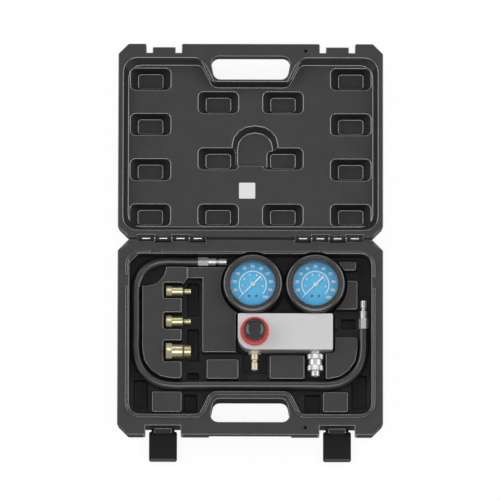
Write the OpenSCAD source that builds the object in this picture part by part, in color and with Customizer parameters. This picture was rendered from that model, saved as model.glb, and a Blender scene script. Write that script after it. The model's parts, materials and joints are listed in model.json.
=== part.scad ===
// Leak-down tester kit: two-gauge tester, whip hose and adapters in a moulded carrying case.
// The case lies open and flat. Origin: centre of the base half's underside, +Y to the lid, +Z up.

/* [Case] */
// Width of the case
case_w = 328; // [324:1:336]
// Depth of each half from hinge side to handle side
half_d = 244; // [242:1:250]
// Height of each half
half_h = 34; // [33:0.5:38]
// Size of the cut-off corners
case_corner = 13.5; // [10:0.5:16]
// Draft of the outer wall over its height
wall_draft = 1.5; // [0.5:0.1:2.5]
// Size of the sloping edge round the underside
foot_edge = 4; // [2:0.5:6]
// Gap between the closed halves
rim_gap = 0.4; // [0.3:0.1:0.8]
// Depth of the frame pressed into the outside of the lid
lid_frame_depth = 1.5; // [0.5:0.1:2.5]

/* [Tray] */
// Distance from the side of the case to the tray
tray_side = 14.5; // [14:0.5:16]
// Distance from the hinge side of the case to the tray
tray_back = 17; // [16:0.5:18]
// Distance from the handle side of the case to the tray
tray_front = 26; // [24:0.5:28]
// Distance from the handle side to the tray behind the handle
dip_depth = 54.5; // [53:0.5:55]
// Half the width of the dip at the front of the tray
dip_half_w = 62; // [58:1:66]
// Height of the hose channel's floor
channel_z = 13; // [11:0.5:14]
// Height of the deep pockets' floor
deep_z = 4.7; // [3.5:0.1:6]
// Height of the tray's decks
deck_z = 25; // [23:0.5:27]
// Height of the adapter deck
adapter_deck_z = 28; // [26:0.5:30]
// Draft of the tray's walls
tray_draft = 0.8; // [0.4:0.1:1]
// Gap under a piece that lies in its seat
seat_gap = 0.3; // [0.2:0.05:0.5]
// Room round the tester in its seat
tester_room = 2.8; // [1.5:0.1:3.5]
// Room round an adapter in its seat
adapter_room = 2.2; // [1:0.1:3]
// Width of the tongue on the base rim
tongue_w = 2.5; // [1.5:0.1:3]
// Height of the tongue on the base rim
tongue_h = 2; // [1:0.1:3]
// Distance from the tray to the tongue
tongue_set = 2; // [1.5:0.1:2.5]

/* [Lid] */
// Height of the panel inside the open lid
panel_z = 20; // [18:0.5:21]
// Depth of the pockets in the panel
tack_depth = 16; // [12:0.5:16]
// Width of a panel pocket
tack_w = 50; // [44:1:54]
// Depth of a panel pocket along the panel
tack_d = 27; // [22:1:30]
// Width of a panel pocket's floor
tack_floor_w = 31; // [26:1:40]
// Depth of a panel pocket's floor along the panel
tack_floor_d = 19; // [16:1:21]
// Distance of the outer pockets from the middle
tack_outer_x = 124; // [120:1:126]
// Distance of the inner pockets from the middle
tack_inner_x = 40; // [38:1:44]
// Spacing of the outer pockets
tack_outer_pitch = 57.2; // [54:0.2:59]
// Spacing of the inner pockets
tack_inner_pitch = 71; // [66:0.5:74]
// Distance from the hinge side to the first row of pockets
tack_first = 30.3; // [29:0.1:33]
// Depth of the knob recess below the panel
knob_recess_depth = 9; // [8:0.5:12]
// Room round the knob in its recess
knob_recess_room = 8; // [6:0.5:10]
// Slope of the knob recess's wall
knob_recess_slope = 6.5; // [4:0.5:7]

/* [Handle] */
// Width of the handle gap
handle_w = 101; // [90:1:104]
// Depth of the handle gap
handle_gap = 29; // [27:0.5:29.5]
// Width of the handle bar
handle_bar = 16; // [14:0.5:16.5]
// Thickness of the handle bar in each half
grip_t = 18; // [14:0.5:22]

/* [Hinge] */
// Diameter of a hinge knuckle
knuckle_d = 8; // [7:0.1:9]
// Diameter of the hinge pin
hinge_pin_d = 3; // [2.5:0.1:3.5]
// Distance from the rim to the hinge axis
hinge_set = 2; // [1.5:0.1:2.5]
// Distance from the middle to the nearest knuckle
hinge_inner_x = 54.5; // [50:0.5:60]
// Length of a knuckle with its gap
knuckle_l = 21.25; // [18:0.25:22]
// Gap between knuckles
knuckle_gap = 0.7; // [0.5:0.1:1]
// Radial clearance of a pin that turns
pin_fit = 0.06; // [0.03:0.01:0.1]
// Radial clearance of a pin that is pressed in
press_fit = 0.02; // [0.01:0.01:0.03]

/* [Latches] */
// Distance of each latch from the middle
latch_x = 107.3; // [100:0.1:112]
// Width of a latch
latch_w = 34.5; // [30:0.5:38]
// Length of a latch from its pivot to its hook
latch_l = 36.5; // [35:0.5:37]
// Thickness of a latch
latch_t = 3.5; // [3:0.1:3.5]
// Distance from the front of the case to the latch pivot
latch_set = 7.5; // [7.5:0.1:8]
// Height of the latch pivot
latch_z = 11; // [10:0.5:12]
// Diameter of the latch barrel
latch_barrel_d = 6.4; // [5.8:0.1:6.4]
// Diameter of the latch pin
latch_pin_d = 2.5; // [2:0.1:3]
// Width of the lug that carries a latch
lug_w = 20.4; // [16:0.2:22]
// Thickness of the hook's lip
hook_t = 3; // [2.5:0.1:3.5]

/* [Manifold] */
// Distance from the right gauge's middle to the block's end
block_end = 21.6; // [18:0.1:24]
// Depth of the manifold block
block_d = 45.5; // [44:0.5:48]
// Height of the manifold block
block_h = 28; // [27:0.5:30]
// Distance of the block's left side from the middle
block_left = 15.3; // [14:0.1:17]
// Distance of the block's front from the middle
block_front = 15; // [14:0.5:16]
// Radius of the block's large corner
block_corner = 17; // [10:0.5:20]
// Radius of the block's small corners
block_edge_r = 2; // [1:0.1:3]
// Height of the ports above the block's underside
port_h = 14; // [13.5:0.1:15]
// Diameter of the air passages
passage_d = 4; // [3:0.1:4.5]

/* [Gauges] */
// Distance of the left gauge from the middle
gauge_left_x = 3; // [1:0.1:4]
// Gap between the two gauges
gauge_gap = 3.9; // [2:0.1:6]
// Thickness of the rubber boot's wall
boot_wall = 4.25; // [3.5:0.05:4.75]
// Height of the rubber boot
boot_h = 32; // [31:0.5:34]
// Thickness of the bezel's wall
bezel_wall = 1.1; // [0.9:0.1:1.4]
// Diameter of the gauge case
case_cup_d = 62.8; // [62:0.1:63.2]
// Width of the rim that hides the edge of the dial
view_rim = 3.9; // [3:0.1:5]
// Gap between the boot and the block
boot_gap = 0.5; // [0.4:0.1:1]
// Diameter of the gauge socket's thread
socket_d = 13; // [12:0.1:13.6]
// Length of thread in the block
socket_l = 10; // [8:0.5:11]
// Diameter of the Bourdon tube's coil
bourdon_d = 44; // [42:0.5:46]

/* [Movement] */
// Tooth size of the movement
tooth_module = 0.3; // [0.28:0.01:0.32]
// Number of teeth on the pinion
pinion_teeth = 10; // [10:1:10]
// Number of teeth on a full circle of the sector
sector_teeth = 90; // [90:1:90]
// Turn of the sector over the full scale
sector_turn = 30; // [26:1:30]

/* [Regulator] */
// Distance of the regulator from the middle
knob_x = 5.5; // [4:0.5:7]
// Distance of the regulator behind the middle
knob_y = 7.5; // [6:0.5:9]
// Diameter of the knob
knob_d = 27.5; // [27:0.5:31]
// Height of the knob
knob_h = 13; // [13:0.5:17]
// Diameter of the red ring
ring_d = 36; // [34:0.5:38]
// Height of the red ring
ring_h = 4.5; // [3.5:0.5:5]
// Diameter of the bonnet
bonnet_d = 22; // [21:0.5:23]
// Diameter of the adjusting screw
screw_d = 6; // [5:0.5:7]
// Travel of the spring nut
nut_travel = 5; // [3:0.5:5]
// Travel of the valve
valve_travel = 0.8; // [0.5:0.1:0.9]

/* [Fittings] */
// Diameter of an air plug's nose
nose_d = 8.1; // [7.9:0.1:8.1]
// Diameter of the coupler's bore
coupler_bore_d = 8.2; // [8.2:0.1:8.4]
// Diameter over the coupler's rings
sleeve_d = 19.8; // [18.6:0.2:20]
// Length of the coupler's sleeve
sleeve_l = 21.3; // [20:0.1:22]
// Travel of the coupler's sleeve
sleeve_travel = 3; // [2:0.1:3]
// Width across the flats of the inlet hex
inlet_hex = 13; // [12:0.5:14]
// Width across the flats of the hose hexes
hose_hex = 10.5; // [10:0.5:12]
// Diameter of the hose
hose_d = 12.4; // [11.6:0.1:12.6]

/* [Adapters] */
// Distance of the adapters' heads from the middle
adapter_x = 104; // [103:0.5:105]
// Length of an adapter's head
head_l = 7.4; // [6:0.1:8]
// Length of an adapter's body
adapter_body_l = 13.6; // [12:0.1:14]
// Length of an adapter's threaded tip
tip_length = 6.8; // [5:0.1:8]
// Length of an adapter's neck
neck_l = 3; // [2:0.1:4]
// Width over the corners of the small adapter's head
small_head_d = 15.4; // [14:0.1:16]
// Body diameter of the small adapter
small_body_d = 12.3; // [11:0.1:13]
// Thread diameter of the small adapter's tip
small_tip_d = 7.6; // [7:0.1:8.5]
// Width over the corners of the medium adapter's head
medium_head_d = 16.7; // [15:0.1:17]
// Body diameter of the medium adapter
medium_body_d = 12.6; // [11:0.1:13.5]
// Thread diameter of the medium adapter's tip
medium_tip_d = 6.6; // [6.4:0.1:8.5]
// Width over the corners of the large adapter's head
large_head_d = 22.2; // [20:0.1:23]
// Body diameter of the large adapter
large_body_d = 18; // [16:0.1:18.4]
// Thread diameter of the large adapter's tip
large_tip_d = 16.4; // [14:0.1:17]
// Diameter of the adapters' air hole
adapter_bore_d = 4; // [3:0.1:4.4]

/* [Hidden] */
$fn = 64;

// How far a cut runs past the face that it opens, and points on a rounded corner
over = 1;
arc_steps = 4;
least_r = 0.3;

// Colours
case_grey = [0.2, 0.2, 0.21];
black = [0.05, 0.05, 0.055];
steel = [0.72, 0.73, 0.75];
brass = [0.78, 0.68, 0.36];
satin = [0.84, 0.84, 0.84];

// Main places of the case
side_x = case_w / 2;
edge_y = half_d / 2;
hinge_y = edge_y + hinge_set;
hinge_z = half_h + rim_gap / 2;
closed_top = 2 * hinge_z;
outline_r = 4;

// Middle lines of the hose channel and the decks beside it
hose_left_x = -141;
hose_right_x = 140;
hose_top_y = 97.5;
hose_bottom_y = -58;
hose_bend_r = 44;
hose_room = 1.6;
hose_z = channel_z + seat_gap + hose_d / 2;
hose_half = hose_d / 2 + hose_room;
deck_l = hose_left_x + hose_half;
deck_r = hose_right_x - hose_half;
deck_b = hose_bottom_y + hose_half;
deck_t = hose_top_y - hose_half;
deck_bend_r = hose_bend_r - hose_half;

// Adapter seats: middle line, head, body and tip diameter of each
adapter_y = [60, 22, -16];
adapter_head = [small_head_d, medium_head_d, large_head_d];
adapter_body = [small_body_d, medium_body_d, large_body_d];
adapter_tip = [small_tip_d, medium_tip_d, large_tip_d];
adapter_end_x = 19 - adapter_x;

// Latch places and the hook's hold on the lid
latch_y = latch_set - edge_y;
latch_skin = 0.5;
plate_out = latch_set - latch_skin;
plate_in = plate_out - latch_t;
latch_room = 4.5;
notch_w = latch_w + 2 * latch_room;
notch_y = latch_y + latch_barrel_d / 2 + 0.7;
hook_gap = 0.6;
tab_gap = 0.3;
tab_y = latch_y - plate_in + tab_gap;
tab_t = latch_z + latch_l - hook_t - hook_gap - rim_gap - half_h;

// Tester places
block_z = deep_z + seat_gap;
block_top = block_z + block_h;
block_back_y = block_d - block_front;
port_z = block_z + port_h;
bezel_d = case_cup_d + 2 * bezel_wall;
boot_d = bezel_d + 2 * boot_wall;
boot_r = boot_d / 2;
gauge_y = block_back_y + boot_gap + boot_r;
gauge_x = [gauge_left_x, gauge_left_x + boot_d + gauge_gap];
block_w = block_left + gauge_x[1] + block_end;

// A corner list is [x, y, radius] in anticlockwise order
function unit(v) = v / norm(v);
function flat(p) = [p.x, p.y];
function box(x0, y0, x1, y1, r) = [[x0, y0, r], [x1, y0, r], [x1, y1, r], [x0, y1, r]];
function neighbour(list, i, step) = list[(i + step + len(list)) % len(list)];

// Points of the arc that rounds one corner
function corner_arc(before, at, after) =
    let (u = unit(flat(before) - flat(at)),
         w = unit(flat(after) - flat(at)),
         half = acos(u * w) / 2,
         centre = flat(at) + unit(u + w) * at[2] / sin(half),
         start = flat(at) + u * at[2] / tan(half) - centre,
         finish = flat(at) + w * at[2] / tan(half) - centre,
         first = atan2(start.y, start.x),
         turn = (atan2(finish.y, finish.x) - first + 540) % 360 - 180)
    [for (i = [0 : arc_steps])
        let (angle = first + turn * i / arc_steps) centre + at[2] * [cos(angle), sin(angle)]];

// Points of a whole outline with its corners rounded
function rounded(corners) = [
    for (i = [0 : len(corners) - 1])
        each corner_arc(neighbour(corners, i, -1), corners[i], neighbour(corners, i, 1))];

// The same corner list moved outwards by a distance
function grown(corners, by) = [
    for (i = [0 : len(corners) - 1])
        let (at = corners[i],
             e1 = unit(flat(at) - flat(neighbour(corners, i, -1))),
             e2 = unit(flat(neighbour(corners, i, 1)) - flat(at)),
             n1 = [e1.y, -e1.x],
             n2 = [e2.y, -e2.x],
             moved = flat(at) + by * (n1 + n2) / (1 + n1 * n2),
             bend = e1.x * e2.y - e1.y * e2.x)
        [moved.x, moved.y, max(least_r, at[2] + (bend > 0 ? by : -by))]];

// A wall with draft from z0, where the outline has grown by g0, to z1, where it has grown by g1
module drafted(corners, z0, z1, g0, g1) {
    points = rounded(grown(corners, g0));
    low = [min([for (p = points) p.x]), min([for (p = points) p.y])];
    high = [max([for (p = points) p.x]), max([for (p = points) p.y])];
    mid = (low + high) / 2;
    size = high - low;
    grow = 2 * (g1 - g0);
    translate([mid.x, mid.y, z0])
        mirror([0, 0, z1 < z0 ? 1 : 0])
            linear_extrude(height = abs(z1 - z0), slices = 1, segments = 0,
                    scale = [1 + grow / size.x, 1 + grow / size.y])
                translate(-mid)
                    polygon(points);
}

// A pocket with draft from its floor up past its rim
module pocket(corners, floor_z, rim_z, draft) {
    drafted(corners, floor_z, rim_z + over, -draft, draft * over / (rim_z - floor_z));
}

// A straight-walled prism over an outline
module prism(corners, z0, z1) {
    translate([0, 0, z0])
        linear_extrude(height = z1 - z0)
            polygon(rounded(corners));
}

// Outer form that both halves of the case share
case_outline = [
    [case_corner - side_x, -edge_y, outline_r], [side_x - case_corner, -edge_y, outline_r],
    [side_x, case_corner - edge_y, outline_r], [side_x, edge_y - case_corner, outline_r],
    [side_x - case_corner, edge_y, outline_r], [case_corner - side_x, edge_y, outline_r],
    [-side_x, edge_y - case_corner, outline_r], [-side_x, case_corner - edge_y, outline_r]];
blow_place = [68, 9 - edge_y];
blow_hole_d = 3;
blow_hole_depth = 12;
module blow_hole() {
    translate([blow_place.x, blow_place.y, half_h - blow_hole_depth])
        cylinder(d = blow_hole_d, h = blow_hole_depth + over);
}
module shell_form() {
    drafted(case_outline, foot_edge, half_h, -wall_draft, 0);
    drafted(case_outline, foot_edge, 0, -wall_draft, -wall_draft - foot_edge);
}

// Hollow that both halves share, drawn in behind the handle
tray_x = side_x - tray_side;
tray_front_y = tray_front - edge_y;
tray_back_y = edge_y - tray_back;
tray_corner = 14;
dip_slant = 14;
dip_r = 8;
dip_inner_r = 12;
tray_outline = [
    [-tray_x, tray_front_y, tray_corner], [-dip_half_w, tray_front_y, dip_r],
    [dip_slant - dip_half_w, dip_depth - edge_y, dip_inner_r],
    [dip_half_w - dip_slant, dip_depth - edge_y, dip_inner_r],
    [dip_half_w, tray_front_y, dip_r], [tray_x, tray_front_y, tray_corner],
    [tray_x, tray_back_y, tray_corner], [-tray_x, tray_back_y, tray_corner]];

// Gap for the hand, and the room under the handle bar
handle_taper = 5.5;
handle_r = 9;
handle_outline = [
    [-handle_w / 2, handle_bar - edge_y, handle_r], [handle_w / 2, handle_bar - edge_y, handle_r],
    [handle_w / 2 - handle_taper, handle_bar + handle_gap - edge_y, handle_r],
    [handle_taper - handle_w / 2, handle_bar + handle_gap - edge_y, handle_r]];
module handle_opening() {
    prism(handle_outline, -over, half_h + over);
    translate([-handle_w / 2, -edge_y - over, -over])
        cube([handle_w, handle_bar + handle_r + over, half_h - grip_t + over]);
}

// Hinge: four knuckles a side, counted from the outside in
hinge_sides = [-1, 1];
knuckles = 4;
knuckle_web = 3;
window_w = 9.5;
window_d = 4.8;
relief_room = 0.6;
module at_knuckle(side, k) {
    translate([side * (hinge_inner_x + (knuckles - 0.5 - k) * knuckle_l), hinge_y, hinge_z])
        children();
}
module knuckle_set(first) {
    for (side = hinge_sides, k = [first, first + 2])
        at_knuckle(side, k) {
            rotate([0, 90, 0])
                cylinder(d = knuckle_d, h = knuckle_l - knuckle_gap, center = true);
            rotate([90, 0, 90])
                linear_extrude(height = knuckle_l - knuckle_gap, center = true)
                    polygon([[0, -knuckle_d / 2], [-hinge_set - knuckle_web, -knuckle_d],
                        [-hinge_set - knuckle_web, -rim_gap / 2], [0, -rim_gap / 2]]);
        }
}
module knuckle_reliefs(first) {
    for (side = hinge_sides, k = [first, first + 2])
        at_knuckle(side, k)
            rotate([0, 90, 0])
                cylinder(d = knuckle_d + 2 * relief_room, h = knuckle_l, center = true);
}
module knuckle_bores(first, clearance) {
    for (side = hinge_sides, k = [first, first + 2])
        at_knuckle(side, k) {
            rotate([0, 90, 0])
                cylinder(d = hinge_pin_d + 2 * clearance, h = knuckle_l, center = true);
            translate([-window_w / 2, -window_d / 2, hinge_pin_d / 6])
                cube([window_w, window_d, knuckle_d]);
        }
}
module hinge_pins() {
    color(steel)
        for (side = hinge_sides)
            translate([side * (hinge_inner_x + knuckles / 2 * knuckle_l), hinge_y, hinge_z])
                rotate([0, 90, 0])
                    cylinder(d = hinge_pin_d, h = knuckles * knuckle_l - 2 * knuckle_gap, center = true);
}

// Latches: the notch in each half, the lug on the base and the tab on the lid
latch_sides = [-1, 1];
lug_gap = 0.4;
module latch_notches() {
    for (side = latch_sides)
        translate([side * latch_x - notch_w / 2, -edge_y - over, -over])
            cube([notch_w, notch_y + edge_y + over, half_h + 2 * over]);
}
module latch_lugs() {
    for (side = latch_sides)
        translate([side * latch_x, latch_y, latch_z]) {
            rotate([0, 90, 0])
                cylinder(d = latch_barrel_d, h = lug_w, center = true);
            translate([-lug_w / 2, 0, -latch_barrel_d / 2])
                cube([lug_w, notch_y - latch_y + over, latch_barrel_d]);
        }
}
module latch_bores(length, clearance) {
    rotate([0, 90, 0])
        cylinder(d = latch_pin_d + 2 * clearance, h = length, center = true);
}
hook_side = 3;
module catch_tabs() {
    tab_w = latch_w - 2 * hook_side;
    for (side = latch_sides)
        translate([side * latch_x - tab_w / 2, tab_y, half_h - tab_t])
            cube([tab_w, notch_y - tab_y + over, tab_t]);
}
module latch_pins() {
    color(steel)
        for (side = latch_sides)
            translate([side * latch_x, latch_y, latch_z])
                rotate([0, 90, 0])
                    cylinder(d = latch_pin_d, h = latch_w - 2 * hook_side - latch_skin, center = true);
}

// A latch, drawn closed about its pivot and then swung open
plate_start = -1;
arm_h = 6;
plate_r = 2.5;
grip_ribs = 3;
grip_rib_pitch = 3;
grip_rib_t = 1.2;
module latch_form() {
    arms_w = latch_w - 2 * hook_side;
    arm_w = (arms_w - lug_w) / 2 - lug_gap;
    difference() {
        union() {
            translate([0, -plate_in, 0])
                rotate([90, 0, 0])
                    prism(box(-latch_w / 2, plate_start, latch_w / 2, latch_l, plate_r), 0, latch_t);
            for (side = latch_sides)
                translate([side * (arms_w - arm_w) / 2, 0, 0]) {
                    rotate([0, 90, 0])
                        cylinder(d = latch_barrel_d, h = arm_w, center = true);
                    translate([-arm_w / 2, -plate_out, plate_start])
                        cube([arm_w, plate_out, arm_h]);
                }
            translate([hook_side - latch_w / 2, -plate_in - latch_t / 2, latch_l - hook_t])
                cube([latch_w - 2 * hook_side, plate_in + latch_t / 2, hook_t]);
        }
        latch_bores(latch_w + over, pin_fit);
        for (i = [0 : grip_ribs - 1])
            translate([-latch_w / 4, -plate_out - over, latch_l - hook_t - (i + 1) * grip_rib_pitch])
                cube([latch_w / 2, over + latch_t / 6, grip_rib_t]);
    }
}
module latch(side) {
    color(black)
        translate([side * latch_x, latch_y, latch_z])
            rotate([90, 0, 0])
                latch_form();
}
module latch_left() { latch(-1); }
module latch_right() { latch(1); }

// Tongue round the base tray, broken in three places
tongue_breaks = [[-tray_x, 71.7], [tray_x, 69], [-116.6, tray_back_y]];
tongue_break_w = 5;
module tongue() {
    difference() {
        prism(grown(tray_outline, tongue_set + tongue_w), half_h - over, half_h + tongue_h);
        prism(grown(tray_outline, tongue_set), half_h - 2 * over, half_h + tongue_h + over);
        for (place = tongue_breaks)
            translate([place.x, place.y, half_h + tongue_h])
                cube([2 * (tongue_set + tongue_w) + tongue_break_w,
                    2 * (tongue_set + tongue_w) + tongue_break_w, 2 * tongue_h], center = true);
    }
}

// Decks that stand in the tray
lobe_x = -77.7;
deck_r_small = 1.5;
bite_place = [-129, 90.7];
bite_r = 25;
strip_end_x = -59;
module deck(corners, top_z) {
    drafted(corners, channel_z - over, top_z, tray_draft, 0);
}
module adapter_deck() {
    difference() {
        deck([[deck_l, deck_b, deck_bend_r], [adapter_end_x, deck_b, deck_r_small], [adapter_end_x, 66, 6],
            [lobe_x, 76, 5], [lobe_x, deck_t, deck_r_small], [deck_l, deck_t, 3]], adapter_deck_z);
        translate([bite_place.x, bite_place.y, channel_z])
            cylinder(r = bite_r, h = adapter_deck_z);
    }
}
module decks() {
    adapter_deck();
    deck(box(strip_end_x, -17, 0, 80, deck_r_small), deck_z);
    deck(box(lobe_x - 2 * over, 76, -30, deck_t, deck_r_small), deck_z);
    deck(box(-53.6, deck_b, -14.7, -26, deck_r_small), deck_z);
    deck(box(24.2, deck_b, 66.8, -21, deck_r_small), deck_z);
    deck([[93.4, deck_b, 0.8], [deck_r, deck_b, deck_bend_r], [deck_r, 1.7, deck_r_small],
        [103, 1.7, deck_r_small], [103, -14.5, deck_r_small], [93.4, -14.5, deck_r_small]], deck_z);
    deck(box(105, 37, deck_r, 73, deck_r_small), deck_z);
    deck(box(108, 86, 130.5, 97, deck_r_small), deck_z);
    deck(box(103.5, 13, 108, 28, 2), deck_z - 4);
    deck(box(-121, -92, -84.5, -66.5, deck_r_small), deck_z);
    deck(box(90, -92, 120.5, -67, deck_r_small), deck_z);
    deck([[-tray_x - over, tray_back_y - 12, 1], [12 - tray_x, tray_back_y + over, 1],
        [-tray_x - over, tray_back_y + over, 1]], half_h);
}

// Deep pockets between the decks
deep_draft = 1.2;
deep_r = 3;
deep_pockets = [
    box(-78, 30, -63, 72, deep_r), box(-78, -27, -63, 14, deep_r), box(-78, -50, -63, -41, deep_r),
    box(-144, -86, -126, -50, deep_r), box(-82, -91, -65, -68, deep_r), box(67, -91, 87, -68, deep_r),
    box(125, -86, 144, -44, deep_r), box(112, 14, 130, 27, deep_r)];
module adapter_seats() {
    for (i = [0 : len(adapter_y) - 1])
        pocket(box(-adapter_x - 3.3, adapter_y[i] - adapter_head[i] / 2 - adapter_room,
            adapter_end_x + 2 * over, adapter_y[i] + adapter_head[i] / 2 + adapter_room, 3),
            channel_z, adapter_deck_z, tray_draft / 2);
}
module tester_seat() {
    for (x = gauge_x)
        translate([x, gauge_y, deep_z])
            cylinder(r = boot_r + tester_room, h = half_h);
    pocket(grown(box(-block_left, -block_front, block_w - block_left, block_back_y, 2), tester_room),
        deep_z, deck_z, tray_draft);
    pocket(box(knob_x - inlet_hex - tester_room, inlet_end_y - tester_room, knob_x + inlet_hex + tester_room,
        0, 3), port_z - inlet_hex / 2 - 3, deck_z, tray_draft);
    pocket(box(gauge_x[1] - sleeve_d / 2 - tester_room, deck_b - over, gauge_x[1] + sleeve_d / 2 + tester_room,
        0, 3), port_z - sleeve_d / 2 - 1.2, deck_z, tray_draft);
}

module base_shell() {
    color(case_grey)
        difference() {
            union() {
                difference() {
                    shell_form();
                    pocket(tray_outline, channel_z, half_h, tray_draft);
                    handle_opening();
                    latch_notches();
                    blow_hole();
                    knuckle_reliefs(1);
                }
                decks();
                tongue();
                knuckle_set(0);
                latch_lugs();
            }
            for (corners = deep_pockets)
                pocket(corners, deep_z, channel_z, deep_draft);
            adapter_seats();
            tester_seat();
            knuckle_bores(0, press_fit);
            for (side = latch_sides)
                translate([side * latch_x, latch_y, latch_z])
                    latch_bores(lug_w + over, press_fit);
        }
}

// Lid, drawn as the base is and then turned over to its side of the hinge
lid_panel_set = 2;
lid_rim_set = 8.5;
tongue_room = 0.6;
tack_r = 4;
outer_rows = 4;
inner_rows = 3;
frame_outline = box(-118, -70, 118, 92, 12);
module lid_place() {
    translate([0, 2 * hinge_y, 0])
        mirror([0, 1, 0])
            children();
}
module tack_pocket(x, row_y) {
    rise = (tack_depth + over) / tack_depth;
    translate([x, row_y, panel_z - tack_depth])
        linear_extrude(height = tack_depth + over, slices = 1, segments = 0,
                scale = [1 + (tack_w / tack_floor_w - 1) * rise, 1 + (tack_d / tack_floor_d - 1) * rise])
            polygon(rounded(box(-tack_floor_w / 2, -tack_floor_d / 2, tack_floor_w / 2, tack_floor_d / 2,
                tack_r)));
}
module knob_recess() {
    r = knob_d / 2 + knob_recess_room;
    rise = (knob_recess_depth + over) / knob_recess_depth;
    grow = knob_recess_slope * rise / r;
    translate([knob_x, knob_y + r, panel_z - knob_recess_depth])
        linear_extrude(height = knob_recess_depth + over, slices = 1, segments = 0,
                scale = [1 + grow, 1 + grow / 2])
            polygon(rounded([[-r, -2 * r, r - 1], [r, -2 * r, r - 1], [r, 0, tack_r], [-r, 0, tack_r]]));
}
module lid_shell() {
    color(case_grey)
        lid_place()
            difference() {
                union() {
                    difference() {
                        shell_form();
                        drafted(tray_outline, panel_z, half_h + over, lid_panel_set, lid_rim_set);
                        prism(grown(tray_outline, tongue_set + tongue_w + tongue_room),
                            half_h - tongue_h - tongue_room, half_h + over);
                        handle_opening();
                        latch_notches();
                        blow_hole();
                        knuckle_reliefs(0);
                    }
                    knuckle_set(1);
                    catch_tabs();
                }
                for (side = [-1, 1]) {
                    for (row = [0 : outer_rows - 1])
                        tack_pocket(side * tack_outer_x, edge_y - tack_first - row * tack_outer_pitch);
                    for (row = [0 : inner_rows - 1])
                        tack_pocket(side * tack_inner_x, edge_y - tack_first - row * tack_inner_pitch);
                }
                knob_recess();
                drafted(frame_outline, lid_frame_depth, -over, 0, over);
                knuckle_bores(1, pin_fit);
            }
}

// Manifold block with its ports and drilled passages
thread_clear = 0.04;
inlet_thread_d = 9.6;
coupler_thread_d = 13;
port_l = 9;
bonnet_seat = 8;
seat_d = 8;
seat_t = 2;
seat_z = block_z + 7;
seat_top = seat_z + seat_t;
chamber_d = 11;
cross_z = port_z - 2.5;
inlet_low_z = seat_z - passage_d / 2 - 0.4;
drop_d = passage_d - 0.5;
drop_y = port_l - block_front - drop_d / 2 - 0.2;
jet_l = 6;
module along_front(x, y, z) {
    translate([x, y, z])
        rotate([90, 0, 0])
            children();
}
module along_x(x, y, z) {
    translate([x, y, z])
        rotate([0, 90, 0])
            children();
}
module block_passages() {
    translate([knob_x, knob_y, seat_top])
        cylinder(d = bonnet_d + 2 * press_fit, h = block_h);
    translate([knob_x, knob_y, seat_z - over])
        cylinder(d = seat_d + 2 * press_fit, h = seat_t + 2 * over);
    translate([knob_x, knob_y, block_z - over])
        cylinder(d = chamber_d + 2 * press_fit, h = seat_z - block_z + over);
    along_front(knob_x, port_l - block_front, port_z)
        cylinder(d = inlet_thread_d + thread_clear, h = port_l + over);
    translate([knob_x, drop_y, inlet_low_z])
        cylinder(d = drop_d, h = port_z - inlet_low_z);
    along_front(knob_x, knob_y, inlet_low_z)
        cylinder(d = passage_d, h = knob_y - drop_y + passage_d);
    along_x(knob_x, knob_y, cross_z)
        cylinder(d = passage_d, h = gauge_x[1] - knob_x + passage_d);
    for (x = gauge_x)
        along_front(x, block_back_y + over, port_z)
            cylinder(d = socket_d + thread_clear, h = socket_l + over);
    along_front(gauge_x[0], block_back_y, port_z)
        cylinder(d = passage_d, h = block_back_y - knob_y);
    along_front(gauge_x[1], block_back_y, port_z)
        cylinder(d = passage_d, h = block_d);
    along_front(gauge_x[1], port_l - block_front, port_z)
        cylinder(d = coupler_thread_d + thread_clear, h = port_l + over);
}
module manifold_block() {
    right = block_w - block_left;
    color(satin)
        difference() {
            prism([[-block_left, -block_front, block_corner], [right, -block_front, block_edge_r],
                [right, block_back_y, block_edge_r], [-block_left, block_back_y, block_edge_r]],
                block_z, block_top);
            block_passages();
        }
}
module metering_jet() {
    color(brass)
        along_x((gauge_x[0] + gauge_x[1] - jet_l) / 2, knob_y, cross_z)
            difference() {
                cylinder(d = passage_d - 2 * press_fit, h = jet_l);
                translate([0, 0, -over])
                    cylinder(d = 1, h = jet_l + 2 * over);
            }
}

// Air plug along +Z: hex, body, neck for the locking balls, and nose; a thread may stand behind it
plug_neck_d = 6;
plug_neck_l = 3.5;
plug_nose_l = 9.5;
plug_bore_d = 3.6;
plug_edge = 0.7;
function plug_length(hex_l, body_l) = hex_l + body_l + plug_neck_l + plug_nose_l;
module air_plug(hex_af, hex_l, body_d, body_l, stub_d, stub_l) {
    t1 = hex_l + body_l;
    t2 = t1 + plug_neck_l;
    t3 = t2 + plug_nose_l;
    difference() {
        union() {
            cylinder(d = hex_af / cos(30), h = hex_l, $fn = 6);
            rotate_extrude()
                polygon([[0, -stub_l], [stub_d / 2, -stub_l], [stub_d / 2, hex_l / 2], [body_d / 2, hex_l / 2],
                    [body_d / 2, t1 - plug_edge], [body_d / 2 - plug_edge, t1], [plug_neck_d / 2, t1],
                    [plug_neck_d / 2, t2 - plug_edge], [nose_d / 2, t2], [nose_d / 2, t3 - plug_edge],
                    [nose_d / 2 - plug_edge, t3], [0, t3]]);
        }
        translate([0, 0, -stub_l - over])
            cylinder(d = plug_bore_d, h = t3 + stub_l + 2 * over);
    }
}
inlet_hex_l = 4;
inlet_body_d = 8.8;
inlet_body_l = 7;
inlet_end_y = -block_front - plug_length(inlet_hex_l, inlet_body_l);
module inlet_nipple() {
    color(brass)
        along_front(knob_x, -block_front, port_z)
            air_plug(inlet_hex, inlet_hex_l, inlet_body_d, inlet_body_l, inlet_thread_d, port_l - over);
}

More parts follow.
